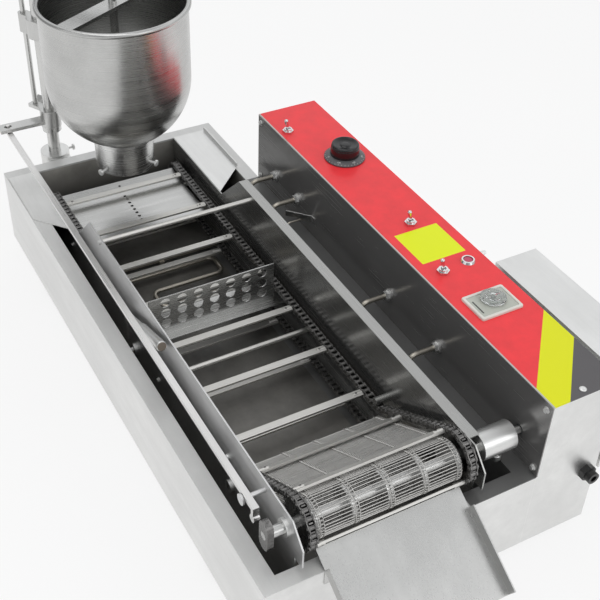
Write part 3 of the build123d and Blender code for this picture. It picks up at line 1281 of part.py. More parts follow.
NODES = {
    "outer_housing": outer_housing(),
    "oil_tank": oil_tank(),
    "rubber_feet": rubber_feet(),
    "cabinet_body": cabinet_body(),
    "cabinet_front": cabinet_front(),
    "control_panel": control_panel(),
    "machine_screws": machine_screws(),
    "motor_cover": motor_cover(),
    "gear_motor": gear_motor(),
    "contactor": contactor(),
    "power_gland": power_gland(),
    "face_tab": face_tab(),
    "switch_bodies": switch_bodies(),
    "thermostat_knob": thermostat_knob(),
    "thermostat_probe": thermostat_probe(),
    "timer_case": timer_case(),
    "timer_dial": timer_dial(),
    "lamp_ring": lamp_ring(),
    "lamp_lens": lamp_lens(),
    "heater_elements": heater_elements(),
    "heater_glands": heater_glands(),
    "front_plate": front_plate(),
    "rear_plate": rear_plate(),
    "front_wing": front_wing(),
    "rear_wing": rear_wing(),
    "tie_rods": tie_rods(),
    "shaft_bushes": shaft_bushes(),
    "drop_plate": drop_plate(),
    "drive_shaft": drive_shaft(),
    "drive_sprockets": drive_sprockets(),
    "belt_wheels": belt_wheels(),
    "feed_cam": feed_cam(),
    "motor_shaft": motor_shaft(),
    "shaft_coupling": shaft_coupling(),
    "coupling_screw": coupling_screw(),
    "tail_sprockets": tail_sprockets(),
    "front_chain": chain(CHAIN_YS[0], 1),
    "rear_chain": chain(CHAIN_YS[1], -1),
    "flight_bars": flight_bars(),
    "wire_belt": wire_belt(),
    "belt_idler": belt_idler(),
    "discharge_chute": discharge_chute(),
    "flipper_shaft": flipper_shaft(),
    "flipper_plate": flipper_plate(),
    "flipper_lever": flipper_lever(),
    "column_socket": column_socket(),
    "column_screw": column_screw(),
    "column": column(),
    "hopper_clamp": hopper_clamp(),
    "hopper_bowl": hopper_bowl(),
    "hopper_outlet": hopper_outlet(),
    "outlet_screws": outlet_screws(),
    "plunger": plunger(),
    "rocker": rocker(),
    "push_rod": push_rod(),
    "swing_arm": swing_arm(),
    "link_bar": link_bar(),
}
for name, spot in TOGGLES.items():
    NODES[f"toggle_lever_{name}"] = toggle_lever(spot)

# The finished part stands on its feet, with its origin under the middle of its box
BOX = Compound([solid for node in NODES.values() for solid in node.solids()]).bounding_box()
SHIFT = (-(BOX.min.X + BOX.max.X) / 2, -(BOX.min.Y + BOX.max.Y) / 2, -BOX.min.Z)

os.makedirs("parts", exist_ok=True)
for name, node in NODES.items():
    export_step(Pos(*SHIFT) * node, f"parts/{name}.step")
print(f"{LINKS} links, {FLIGHTS} push bars, tail sprockets at x {TAIL[0]:.2f}, box {BOX.size}, shift {SHIFT}")
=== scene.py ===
"""Looks of the automatic ring-donut fryer, in metres, in the frame of its CAD model."""
import json
from math import atan2, cos, pi, radians, sin, sqrt, tan

import bmesh
import bpy
from mathutils import Matrix, Vector


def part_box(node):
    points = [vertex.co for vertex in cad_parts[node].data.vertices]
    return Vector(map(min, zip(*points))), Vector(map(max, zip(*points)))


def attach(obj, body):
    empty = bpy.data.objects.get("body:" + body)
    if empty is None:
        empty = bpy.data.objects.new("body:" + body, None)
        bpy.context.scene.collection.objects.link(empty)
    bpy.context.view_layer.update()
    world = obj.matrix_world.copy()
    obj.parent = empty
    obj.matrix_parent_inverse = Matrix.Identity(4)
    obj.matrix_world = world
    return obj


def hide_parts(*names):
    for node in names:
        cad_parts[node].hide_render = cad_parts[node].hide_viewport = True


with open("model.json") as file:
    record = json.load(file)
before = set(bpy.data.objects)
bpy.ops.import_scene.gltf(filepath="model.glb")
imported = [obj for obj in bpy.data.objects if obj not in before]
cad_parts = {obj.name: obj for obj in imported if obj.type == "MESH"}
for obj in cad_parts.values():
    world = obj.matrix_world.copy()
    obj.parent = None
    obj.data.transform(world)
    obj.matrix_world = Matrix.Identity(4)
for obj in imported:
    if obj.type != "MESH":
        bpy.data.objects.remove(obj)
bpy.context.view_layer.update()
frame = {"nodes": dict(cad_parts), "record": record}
MM = 0.001

# Camera of the photograph: focal length in pixels of a 600 pixel frame, viewing angles in degrees
PHOTO_SIZE = 600
FOCAL_PIXELS = 1092.165
CENTRE_ROW = 299.4
AZIMUTH = 59.602
ELEVATION = 39.546
ROLL = 2.334
CAMERA_PLACE = (1.0310, -0.5858, 1.1010)
SENSOR = 36.0

# Chain: lengths in millimetres, incline and sweep in degrees, waist as a share of the plate's height
PITCH = 9.525
ROLLER_D = 6.35
ROLLER_W = 5.72
ROLLER_CHAMFER = 0.2
ROLLER_SIDES = 14
PLATE_T = 1.2
PLATE_H = 8.2
PLATE_GAP = 0.05
PLATE_WAIST = 0.36
PLATE_END_SWEEP = 140
PLATE_END_POINTS = 8
PIN_D = 3.3
PIN_OVER = 0.4
PIN_SIDES = 10
RIVET_H = 0.3
RIVET_END_R = 0.99
DRIVE_TEETH = 20
TAIL_TEETH = 18
INCLINE = 32.5
BEND_R = 32.0

# Push bars: links from one to the next, and millimetres of their end pins, bosses and pin heads
FLIGHT_LINKS = 10
END_PIN_D = 3.0
END_PIN_L = 8.0
BAR_BOSS_D = 6.0
PIN_INSET = 9.0
PIN_HEAD_D = 3.2
PIN_HEAD_H = 0.4
PIN_HEAD_SIDES = 16

# Screw in the drop plate's lip: place from the plate's left and top in millimetres, and direction
LIP_SCREW = (9.0, 2.8)
LIP_SCREW_R = 2.0
LIP_SCREW_H = 0.6
LIP_NORMAL = (4, 0, 13)

# Wire belt, millimetres; a hook's points are given in pitches along, hook widths across and radii up
BELT_WHEEL_R = 22.0
BELT_IDLER_R = 10.0
BELT_LIFT = 2.5
BELT_WIRE_D = 1.2
BELT_PITCH = 3.8
BELT_JOINTS = 5
HOOK_W = 5.0
HOOK_POINTS = ((0, -0.5, 0), (0.35, -0.5, 1), (1, -0.5, 2), (1.3, -0.25, 1),
               (1.3, 0.25, 1), (1, 0.5, 2), (0.35, 0.5, 1), (0, 0.5, 0))
HOOK_SIDES = 6

# Fasteners and feet: profiles and heights as shares of radius and height
SCREW_SIDES = 28
PIN_HEAD_ROWS = ((1, -1), (1, 0.3), (0.8, 0.8), (0.4, 1))
PANEL_SCREW_ROWS = ((1, 0), (1, 0.3), (0.85, 0.7), (0.5, 1))
WASHER_ROWS = ((1, 0), (1, 0.7), (0.94, 1))
WASHER_H = 0.28
HEAD_R = 0.8
CHAMFER_AT = 0.85
CHAMFER_R = 0.93
FOOT_ROWS = ((0.86, 0), (0.92, 0.06), (0.96, 0.4), (0.9, 0.5), (1, 0.62), (1, 0.94), (0.95, 1))
FOOT_SIDES = 40

# Thermostat knob, millimetres; its scale starts at an angle in degrees, with a value at each major tick
KNOB_GRIP_R = 20.0
KNOB_RIM_Z = 2.8
KNOB_FOOT_Z = 6.2
KNOB_SIDES = 96
KNOB_FIRST = -150
KNOB_TICKS = 31
KNOB_MAJOR = 5
KNOB_VALUE = 50
KNOB_LONG, KNOB_SHORT, KNOB_TICK_W = 2.6, 1.4, 0.4
KNOB_DIGITS = 3.4
KNOB_DIGITS_OUT = 5.2

# Timer, millimetres: its frame's rows have inset, depth below the top and corner radius, its body and its
# face have inset and corner radius, and its slit is in front of the middle by a share of the case's depth
TIMER_CORNER = 3.0
TIMER_ROWS = ((0, 1.6, 3), (0.4, 0.5, 2.8), (1.2, 0, 2.4), (3.4, 0, 2), (4.0, 0.4, 1.8), (4.6, 4.0, 1.6))
TIMER_BODY = (3.1, 1.0)
TIMER_FACE = (4.3, 1.6)
TIMER_FACE_DEPTH = 1.2
TIMER_FIRST = -120
TIMER_TICKS = 25
TIMER_MAJOR = 4
TIMER_LONG, TIMER_SHORT, TIMER_TICK_W = 2.0, 1.1, 0.36
TIMER_DIGITS = 3.6
TIMER_DIGITS_IN = 4.5
TIMER_SCALE_IN = 1.0
SLIT_SIZE = (24.0, 1.6)
SLIT_RIGHT = 1.0
SLIT_SHARE = 0.36

# Timer's dial, millimetres
DIAL_GAP = 0.3
DIAL_SIDES = 144
DIAL_FLUTES = 24
FLUTE_DEPTH = 0.8
SPINDLE_R = 2.4
SPINDLE_SIDES = 20
SPINDLE_OVERLAP = 0.2
POINTER_W = 1.0
POINTER_FROM, POINTER_TO = 3.0, 9.5
POINTER_SUNK = 0.3

# Printed scales: degrees from tick to tick, and millimetres of thickness
TICK_STEP = 10
TICK_T = 0.1
LINE_T = 0.2
DIGIT_T = 0.08

# Depth below the rim from which the chain's ledges get painted shade, millimetres
LEDGE_DEPTH = 26.0

# Printed panel, millimetres: the band from the front-right corner, the label from the front-left corner
BAND_NORMAL = (0.6686, 0.7437)
BAND_FROM = -20.7
BAND_TO = 17.4
LABEL_AT = (395.0, 49.0)
LABEL_SIZE = (68.0, 67.0)
# Width of the painted highlight along the panel's front edge, a bright metal strip
EDGE_HIGHLIGHT_W = 2.4


def colour(red, green, blue):
    """Linear colour of an sRGB one, each from 0 to 255."""
    def linear(value):
        value /= 255
        return value / 12.92 if value <= 0.04045 else ((value + 0.055) / 1.055) ** 2.4
    return linear(red), linear(green), linear(blue), 1.0


# Steel: scales of the grain along each axis, colours, and shades as shares of a base colour
ALONG_X = (9.0, 620.0, 620.0)
ALONG_Y = (620.0, 9.0, 620.0)
ALONG_Z = (620.0, 620.0, 9.0)
STAINLESS = (0.62, 0.62, 0.61, 1.0)
POLISHED = (0.55, 0.55, 0.55, 1.0)
# Colour of the oil inside the tank, which is also painted darker with depth as shade
OILED = (0.24, 0.232, 0.215, 1.0)
# Painted shade, nearly black, on the chain's ledges inside the tank
LEDGE_SHADE = (0.03, 0.028, 0.026, 1.0)
CAP_BROWN = (0.28, 0.24, 0.2, 1.0)
SMUDGED, CLEAN = 0.22, 1.06
WIPED, WIPE_SHARE, WIPE_SCALE = 0.84, 0.55, 2.2
# Shares on rubbed edges, and of the painted shade on the pan under the cabinet
RUBBED, CABINET_SHADE = 1.18, 0.22
# Oil stain with painted shade inside the tank: shares of the oiled colour deep down and near the rim, and in
# its clouds
STAIN_AND_SHADE_LOW, STAIN_AND_SHADE_HIGH, STAIN_CLOUD = 0.25, 2.7, 0.9

# Oil stain and painted shade inside the tank: depth below the rim at which they start, and depth over which
# they darken
STAIN_AND_SHADE_FROM = 3 * MM
STAIN_AND_SHADE_DEPTH = 60 * MM

# Directions of ledges and of the lever's end, each with the least cosine of the angle to it
LEDGE_UP, LEDGE_COSINE = (0, 0, 1), 0.6
GRIP_END, GRIP_COSINE = (0.951, 0, 0.309), 0.97

# Radii of softened edges, and heights of fine relief
STEEL_EDGE = 0.6 * MM
PLASTIC_EDGE = 0.5 * MM
CLEAR_EDGE = 0.4 * MM
SMALL_EDGE = 0.3 * MM
GRAIN_RELIEF = 0.06 * MM
METAL_RELIEF = 0.05 * MM
FILM_RELIEF = 0.1 * MM
PORE_RELIEF = 0.08 * MM
RUBBER_RELIEF = 0.2 * MM
GLOSS_RELIEF = 0.03 * MM
INK_RELIEF = 0.04 * MM

# Share of white in the floor as the camera sees it, and in reflections
FLOOR_SEEN, FLOOR_MIRRORED = 0.8, 0.75

# Places of the colours among a mix node's sockets
COLOUR_A, COLOUR_B, COLOUR_RESULT = 6, 7, 2


class Surface:
    """A material with a Principled shader and the node patterns that feed it."""

    def __init__(self, name, **values):
        self.material = bpy.data.materials.new(name)
        self.material.use_nodes = True
        self.nodes = self.material.node_tree.nodes
        self.links = self.material.node_tree.links
        self.shader = self.nodes["Principled BSDF"]
        for socket, value in values.items():
            self.shader.inputs[socket.replace("_", " ")].default_value = value
        self.place = self.add("ShaderNodeTexCoord").outputs["Object"]

    def add(self, kind, **settings):
        node = self.nodes.new(kind)
        for key, value in settings.items():
            setattr(node, key, value)
        return node

    def feed(self, value, socket):
        """Link an output to a socket, or set the socket to a plain value."""
        if isinstance(value, bpy.types.NodeSocket):
            self.links.new(value, socket)
        else:
            socket.default_value = value

    def math(self, operation, *values):
        node = self.add("ShaderNodeMath", operation=operation)
        for value, socket in zip(values, node.inputs):
            self.feed(value, socket)
        return node.outputs[0]

    def stretched(self, scales):
        """Coordinates scaled by a different amount along each axis."""
        node = self.add("ShaderNodeMapping")
        self.feed(self.place, node.inputs["Vector"])
        node.inputs["Scale"].default_value = scales
        return node.outputs[0]

    def noise(self, scale, detail=3.0, rough=0.55, place=None):
        node = self.add("ShaderNodeTexNoise")
        self.feed(place or self.place, node.inputs["Vector"])
        node.inputs["Scale"].default_value = scale
        node.inputs["Detail"].default_value = detail
        node.inputs["Roughness"].default_value = rough
        return node.outputs["Fac"]

    def spread(self, value, low, high, start=0.3, end=0.7):
        """Map a pattern from start..end to low..high, without going beyond them."""
        node = self.add("ShaderNodeMapRange")
        self.feed(value, node.inputs["Value"])
        for socket, number in zip(("From Min", "From Max", "To Min", "To Max"), (start, end, low, high)):
            node.inputs[socket].default_value = number
        return node.outputs["Result"]

    def mix(self, share, first, second):
        node = self.add("ShaderNodeMix", data_type="RGBA")
        self.feed(share, node.inputs["Factor"])
        self.feed(first, node.inputs[COLOUR_A])
        self.feed(second, node.inputs[COLOUR_B])
        return node.outputs[COLOUR_RESULT]

    def axis(self, name):
        node = self.add("ShaderNodeSeparateXYZ")
        self.feed(self.place, node.inputs[0])
        return node.outputs[name]

    def between(self, value, low, high):
        """One where a value lies between two numbers, otherwise zero."""
        above = self.math("GREATER_THAN", value, low)
        below = self.math("LESS_THAN", value, high)
        return self.math("MULTIPLY", above, below)

    def edges(self, radius):
        """Softened normals, and a mask of the edges where they differ from the surface."""
        soft = self.add("ShaderNodeBevel", samples=4)
        soft.inputs["Radius"].default_value = radius
        flat = self.add("ShaderNodeNewGeometry")
        likeness = self.add("ShaderNodeVectorMath", operation="DOT_PRODUCT")
        self.feed(soft.outputs[0], likeness.inputs[0])
        self.feed(flat.outputs["Normal"], likeness.inputs[1])
        return soft.outputs[0], self.spread(likeness.outputs["Value"], 1.0, 0.0, 0.75, 0.99)

    def faces(self, direction, cosine):
        """One on faces that look along a direction, or nearly so, otherwise zero."""
        flat = self.add("ShaderNodeNewGeometry")
        likeness = self.add("ShaderNodeVectorMath", operation="DOT_PRODUCT")
        self.feed(flat.outputs["Normal"], likeness.inputs[0])
        likeness.inputs[1].default_value = direction
        return self.math("GREATER_THAN", likeness.outputs["Value"], cosine)

    def ledges(self):
        """One on faces that look up inside the tank, otherwise zero."""
        inside = self.math("LESS_THAN", self.axis("Z"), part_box("oil_tank")[1].z - LEDGE_DEPTH * MM)
        return self.math("MULTIPLY", self.faces(LEDGE_UP, LEDGE_COSINE), inside)

    def bump(self, height, strength, depth, normal=None):
        node = self.add("ShaderNodeBump")
        self.feed(height, node.inputs["Height"])
        node.inputs["Strength"].default_value = strength
        node.inputs["Distance"].default_value = depth
        if normal:
            self.feed(normal, node.inputs["Normal"])
        return node.outputs[0]

    def set(self, socket, value):
        self.feed(value, self.shader.inputs[socket])


def shade(base, factor):
    """A colour made lighter or darker."""
    return tuple(channel * factor for channel in base[:3]) + (1.0,)


def steel(name, base, roughness, grain, grain_depth=0.25, smudge=0.5, oiled_and_shaded_below=None, metal=1.0,
          shaded_ledges=False, shaded_beyond=None):
    """Stainless steel with brushed grain along one axis, smudges, wiped streaks and bright edges.

    Below an optional height it is stained by oil and darkened with depth as painted shade inside the tank.
    A sheet with shaded ledges has painted shade, nearly black, on its ledges. Beyond an optional x and y it
    is darkened as painted shade under the cabinet.
    """
    surface = Surface(name, Metallic=metal)
    fine = surface.noise(1.0, 2.0, 0.6, surface.stretched(grain))
    cloud = surface.noise(9.0, 5.0, 0.6)
    streaks = tuple(sqrt(scale) * WIPE_SCALE for scale in grain)
    wipe = surface.noise(1.0, 4.0, 0.65, surface.stretched(streaks))
    soft, edge_mask = surface.edges(STEEL_EDGE)
    tone = surface.mix(surface.spread(cloud, 0.0, 1.0), shade(base, 1 - SMUDGED * smudge), shade(base, CLEAN))
    tone = surface.mix(surface.spread(wipe, 0.0, WIPE_SHARE), tone, shade(base, WIPED))
    rough = surface.math("ADD", surface.spread(fine, roughness - 0.07, roughness + 0.08, 0.25, 0.75),
                         surface.spread(cloud, -0.05 * smudge, 0.09 * smudge))
    if oiled_and_shaded_below is not None:
        # Below the rim the pan is stained by oil and painted darker with depth as shade inside the tank
        stained_and_shaded = surface.math("LESS_THAN", surface.axis("Z"), oiled_and_shaded_below)
        depth = surface.spread(surface.axis("Z"), 0.0, 1.0, oiled_and_shaded_below - STAIN_AND_SHADE_DEPTH, oiled_and_shaded_below)
        stain_and_shade = surface.mix(depth, shade(OILED, STAIN_AND_SHADE_LOW), shade(OILED, STAIN_AND_SHADE_HIGH))
        stain_and_shade = surface.mix(surface.spread(cloud, 0.0, 1.0), stain_and_shade, shade(OILED, STAIN_CLOUD))
        tone = surface.mix(stained_and_shaded, tone, stain_and_shade)
    tone = surface.mix(edge_mask, tone, shade(base, RUBBED))
    # Painted shade on the pan under the cabinet, beyond an x and a y
    if shaded_beyond is not None:
        beside = surface.math("GREATER_THAN", surface.axis("X"), shaded_beyond[0])
        behind = surface.math("GREATER_THAN", surface.axis("Y"), shaded_beyond[1])
        tone = surface.mix(surface.math("MULTIPLY", beside, behind), tone, shade(base, CABINET_SHADE))
    # Painted shade, nearly black, on the ledges inside the tank
    if shaded_ledges:
        tone = surface.mix(surface.ledges(), tone, LEDGE_SHADE)
    surface.set("Base Color", tone)
    surface.set("Roughness", rough)
    surface.set("Normal", surface.bump(fine, grain_depth, GRAIN_RELIEF, soft))
    return surface.material


def capped_lever(name):
    """Satin hand lever whose grip ends in a brown cap."""
    surface = Surface(name, Metallic=1.0)
    fine = surface.noise(300.0, 3.0)
    soft, edge_mask = surface.edges(STEEL_EDGE)
    tone = surface.mix(surface.spread(fine, 0.0, 1.0), STAINLESS, (0.7, 0.7, 0.69, 1.0))
    tone = surface.mix(edge_mask, tone, (0.76, 0.76, 0.75, 1.0))
    surface.set("Base Color", surface.mix(surface.faces(GRIP_END, GRIP_COSINE), tone, CAP_BROWN))
    surface.set("Roughness", surface.spread(fine, 0.3, 0.42))
    surface.set("Normal", surface.bump(fine, 0.1, METAL_RELIEF, soft))
    return surface.material


def spun_steel(name, base, roughness, node):
    """Steel turned on a lathe: rings round the vertical middle of a node."""
    low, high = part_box(node)
    surface = Surface(name, Metallic=1.0)
    shift = surface.add("ShaderNodeVectorMath", operation="SUBTRACT")
    surface.feed(surface.place, shift.inputs[0])
    shift.inputs[1].default_value = ((low.x + high.x) / 2, (low.y + high.y) / 2, 0)
    split = surface.add("ShaderNodeSeparateXYZ")
    surface.feed(shift.outputs[0], split.inputs[0])
    square = surface.math("ADD", surface.math("POWER", split.outputs["X"], 2.0),
                          surface.math("POWER", split.outputs["Y"], 2.0))
    rings = surface.add("ShaderNodeCombineXYZ")
    surface.feed(surface.math("SQRT", square), rings.inputs["X"])
    surface.feed(split.outputs["Z"], rings.inputs["Y"])
    turned = surface.noise(900.0, 2.0, 0.6, rings.outputs[0])
    cloud = surface.noise(16.0, 4.0)
    soft, edge_mask = surface.edges(STEEL_EDGE)
    tone = surface.mix(surface.spread(cloud, 0.0, 1.0), shade(base, 0.86), shade(base, 1.05))
    surface.set("Base Color", surface.mix(edge_mask, tone, shade(base, 1.15)))
    surface.set("Roughness", surface.spread(turned, roughness - 0.05, roughness + 0.08))
    surface.set("Normal", surface.bump(turned, 0.2, METAL_RELIEF, soft))
    return surface.material


def oiled_steel(name, base, roughness):
    """Dark chain steel with an uneven film of oil and rubbed bright edges."""
    surface = Surface(name, Metallic=1.0)
    film = surface.noise(220.0, 4.0, 0.6)
    grime = surface.noise(40.0, 3.0)
    soft, edge_mask = surface.edges(SMALL_EDGE)
    tone = surface.mix(surface.spread(film, 0.0, 1.0), shade(base, 0.6), shade(base, 1.2))
    tone = surface.mix(surface.spread(grime, 0.0, 0.5), tone, shade(base, 0.45))
    surface.set("Base Color", surface.mix(edge_mask, tone, shade(base, 1.6)))
    surface.set("Roughness", surface.spread(film, roughness - 0.1, roughness + 0.15))
    surface.set("Normal", surface.bump(film, 0.25, FILM_RELIEF, soft))
    return surface.material


def plastic(name, base, roughness, grain=900.0, relief=PORE_RELIEF, wear=1.5):
    """Moulded plastic with a fine texture, slight clouding and rubbed edges."""
    surface = Surface(name)
    pores = surface.noise(grain, 2.0, 0.6)
    cloud = surface.noise(30.0, 3.0)
    soft, edge_mask = surface.edges(PLASTIC_EDGE)
    tone = surface.mix(surface.spread(cloud, 0.0, 1.0), shade(base, 0.9), shade(base, 1.06))
    surface.set("Base Color", surface.mix(edge_mask, tone, shade(base, wear)))
    surface.set("Roughness", surface.spread(cloud, roughness - 0.05, roughness + 0.08))
    surface.set("Normal", surface.bump(pores, 0.2, relief, soft))
    return surface.material


def chrome(name, base, roughness):
    """Smooth metal with a slight haze."""
    surface = Surface(name, Metallic=1.0)
    haze = surface.noise(150.0, 4.0)
    soft, _ = surface.edges(SMALL_EDGE)
    surface.set("Base Color", surface.mix(surface.spread(haze, 0.0, 1.0), shade(base, 0.9), base))
    surface.set("Roughness", surface.spread(haze, roughness, roughness + 0.1))
    surface.set("Normal", surface.bump(haze, 0.05, METAL_RELIEF, soft))
    return surface.material


def clear(name, tint, roughness, weight):
    """Clear or tinted plastic that light goes through, with faint moulding waves."""
    surface = Surface(name, Transmission_Weight=weight, IOR=1.47)
    waves = surface.noise(120.0, 2.0)
    soft, edge_mask = surface.edges(CLEAR_EDGE)
    tone = surface.mix(surface.spread(waves, 0.0, 1.0), shade(tint, 0.94), tint)
    surface.set("Base Color", surface.mix(edge_mask, tone, shade(tint, 1.1)))
    surface.set("Roughness", surface.spread(waves, roughness, roughness + 0.05))
    surface.set("Normal", surface.bump(waves, 0.08, FILM_RELIEF, soft))
    return surface.material


def printed_panel(name):
    """Red enamel with a yellow diagonal band, a dark corner, a bare yellow label and a painted front edge
    highlight.
    """
    low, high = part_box("control_panel")
    red, yellow = colour(246, 62, 68), colour(231, 234, 2)
    dark, label, edge_highlight = colour(94, 92, 94), colour(234, 245, 2), colour(186, 186, 182)
    surface = Surface(name, Coat_Weight=0.12, Coat_Roughness=0.12, Specular_IOR_Level=0.25)
    x, y = surface.axis("X"), surface.axis("Y")
    from_right = surface.math("MULTIPLY", surface.math("SUBTRACT", x, high.x), BAND_NORMAL[0])
    from_front = surface.math("MULTIPLY", surface.math("SUBTRACT", y, low.y), BAND_NORMAL[1])
    across = surface.math("ADD", from_right, from_front)
    mottle = surface.noise(45.0, 4.0)
    ink = surface.noise(700.0, 2.0)
    tone = surface.mix(surface.spread(mottle, 0.0, 1.0), shade(red, 0.92), shade(red, 1.05))
    tone = surface.mix(surface.math("GREATER_THAN", across, BAND_FROM * MM), tone, yellow)
    tone = surface.mix(surface.math("GREATER_THAN", across, BAND_TO * MM), tone, dark)
    left, right = (low.x + (LABEL_AT[0] + side * LABEL_SIZE[0] / 2) * MM for side in (-1, 1))
    front, rear = (low.y + (LABEL_AT[1] + side * LABEL_SIZE[1] / 2) * MM for side in (-1, 1))
    on_label = surface.math("MULTIPLY", surface.between(x, left, right), surface.between(y, front, rear))
    tone = surface.mix(on_label, tone, label)
    # Painted highlight along the front edge: a bright metallic strip in place of light on the edge
    edge = surface.math("LESS_THAN", y, low.y + EDGE_HIGHLIGHT_W * MM)
    surface.set("Base Color", surface.mix(edge, tone, edge_highlight))
    surface.set("Metallic", edge)
    surface.set("Roughness", surface.spread(mottle, 0.28, 0.4))
    surface.set("Normal", surface.bump(ink, 0.08, INK_RELIEF))
    return surface.material


def floor_paint(name):
    """Pale studio floor with a barely visible tone change, nearly white to the camera and in reflections."""
    surface = Surface(name)
    cloud = surface.noise(1.5, 3.0)
    pale = surface.mix(surface.spread(cloud, 0.0, 1.0), (0.86, 0.86, 0.86, 1.0), (0.9, 0.9, 0.9, 1.0))
    surface.set("Base Color", pale)
    surface.set("Roughness", surface.spread(cloud, 0.55, 0.65))
    white = surface.add("ShaderNodeEmission")
    white.inputs["Color"].default_value = (1.0, 1.0, 1.0, 1.0)
    path = surface.add("ShaderNodeLightPath")
    mirrored = surface.math("MAXIMUM", path.outputs["Is Glossy Ray"], path.outputs["Is Transmission Ray"])
    seen = surface.math("ADD", surface.math("MULTIPLY", path.outputs["Is Camera Ray"], FLOOR_SEEN),
                        surface.math("MULTIPLY", mirrored, FLOOR_MIRRORED))
    blend = surface.add("ShaderNodeMixShader")
    surface.feed(seen, blend.inputs["Fac"])
    surface.feed(surface.shader.outputs[0], blend.inputs[1])
    surface.feed(white.outputs[0], blend.inputs[2])
    surface.feed(blend.outputs[0], surface.nodes["Material Output"].inputs["Surface"])
    return surface.material


# Looks of the material slots
LOOKS = {
    "brushed_stainless": steel("brushed_along_x", STAINLESS, 0.3, ALONG_X),
    "polished_stainless": steel("polished_along_x", POLISHED, 0.2, ALONG_X, 0.12),
    "red_enamel": printed_panel("printed_panel"),
    "chain_steel": oiled_steel("oiled_chain", (0.24, 0.235, 0.23, 1.0), 0.3),
    "screw_steel": chrome("screw_steel", (0.85, 0.85, 0.84, 1.0), 0.34),
    "bright_chrome": chrome("bright_chrome", (0.78, 0.78, 0.78, 1.0), 0.06),
    "black_plastic": plastic("black_plastic", (0.012, 0.012, 0.012, 1.0), 0.3, wear=3.0),
    "white_plastic": plastic("white_plastic", (0.78, 0.76, 0.70, 1.0), 0.35, wear=1.1),
    "clear_plastic": clear("clear_plastic", (0.93, 0.95, 0.95, 1.0), 0.04, 0.92),
    "red_lens": clear("red_lens", (0.9, 0.09, 0.2, 1.0), 0.1, 0.4),
    "heater_steel": steel("heater_steel", (0.5, 0.47, 0.41, 1.0), 0.36, ALONG_Y),
    "motor_paint": plastic("motor_paint", (0.07, 0.08, 0.09, 1.0), 0.45),
    "foot_rubber": plastic("foot_rubber", (0.015, 0.015, 0.015, 1.0), 0.75, 500.0, RUBBER_RELIEF),
}

# Looks of nodes that differ from their slot's
GRAIN_Y = steel("brushed_along_y", STAINLESS, 0.27, ALONG_Y)
GRAIN_Z = steel("polished_along_z", (0.64, 0.64, 0.63, 1.0), 0.2, ALONG_Z, 0.15)
FACE = steel("dark_polished_face", (0.31, 0.305, 0.3, 1.0), 0.2, ALONG_X, 0.05, 0.5, metal=0.6)
# The mirror and satin sheets carry painted shade on their ledges
MIRROR = steel("mirror_sheet", (0.42, 0.42, 0.41, 1.0), 0.22, ALONG_X, 0.02, 0.3, metal=0.9, shaded_ledges=True)
SATIN = steel("satin_sheet", (0.74, 0.74, 0.74, 1.0), 0.42, ALONG_X, 0.15, 0.6, shaded_ledges=True)
DROP = steel("drop_sheet", STAINLESS, 0.3, ALONG_Y, 0.1, 0.5)
LEAF = steel("turner_sheet", (0.56, 0.56, 0.55, 1.0), 0.26, ALONG_Y, 0.1, 0.4, metal=0.94)
BAR = steel("push_bar", (0.72, 0.71, 0.68, 1.0), 0.46, ALONG_Y)
WIRE = steel("belt_wire", (0.62, 0.61, 0.59, 1.0), 0.3, ALONG_Y)
# Pan: oil stain and painted shade inside the tank, and painted shade under the cabinet beyond its left side
# and the rear plate
PAN = steel("oiled_shaded_pan", (0.72, 0.72, 0.71, 1.0), 0.36, ALONG_X, 0.08, 0.5, metal=0.35,
            oiled_and_shaded_below=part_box("oil_tank")[1].z - STAIN_AND_SHADE_FROM,
            shaded_beyond=(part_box("cabinet_front")[0].x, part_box("rear_plate")[0].y))
BRIGHT_PLATE = steel("bright_sheet", (0.82, 0.82, 0.81, 1.0), 0.36, ALONG_X, 0.3)
NODE_LOOKS = {
    "cabinet_front": FACE,
    "oil_tank": PAN,
    "front_plate": SATIN,
    "drop_plate": DROP,
    "rear_plate": MIRROR,
    "flipper_plate": LEAF,
    "link_bar": steel("bright_bar", (0.80, 0.79, 0.78, 1.0), 0.3, ALONG_X),
    "flipper_lever": capped_lever("capped_lever"),
    **dict.fromkeys(("flight_bars", "tie_rods"), BAR),
    "hopper_bowl": spun_steel("spun_bowl", (0.56, 0.56, 0.55, 1.0), 0.26, "hopper_bowl"),
    "hopper_outlet": spun_steel("spun_outlet", (0.88, 0.88, 0.87, 1.0), 0.24, "hopper_outlet"),
    "column_socket": spun_steel("turned_socket", (0.7, 0.7, 0.69, 1.0), 0.26, "column_socket"),
    "shaft_coupling": steel("turned_coupling", (0.8, 0.8, 0.79, 1.0), 0.34, ALONG_Y, 0.12),
    **dict.fromkeys(("drive_shaft", "flipper_shaft", "motor_shaft", "belt_idler", "belt_wheels"), GRAIN_Y),
    **dict.fromkeys(("column", "push_rod", "plunger"), GRAIN_Z),
    **dict.fromkeys(("motor_cover", "outer_housing", "cabinet_body", "face_tab", "front_wing", "rear_wing"),
                    BRIGHT_PLATE),
}
for subpart in frame["record"]["subparts"]:
    node = subpart["node"]
    piece = frame["nodes"][node]
    piece.data.materials.clear()
    piece.data.materials.append(NODE_LOOKS.get(node) or LOOKS[subpart["material_slot"]])


# Meshes: least angle in degrees between the faces at a sharp edge
SHARP_ANGLE = 35


def piece_of(name, mesh, body, slot, *replaced, look=None):
    """Finish a bmesh as a piece that rides on a body."""
    data = bpy.data.meshes.new(name)
    bmesh.ops.recalc_face_normals(mesh, faces=mesh.faces)
    mesh.to_mesh(data)
    mesh.free()
    data.shade_smooth()
    data.set_sharp_from_angle(angle=radians(SHARP_ANGLE))
    data.materials.append(look or LOOKS[slot])
    made = bpy.data.objects.new(name, data)
    bpy.context.scene.collection.objects.link(made)
    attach(made, body)
    if replaced:
        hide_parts(*replaced)


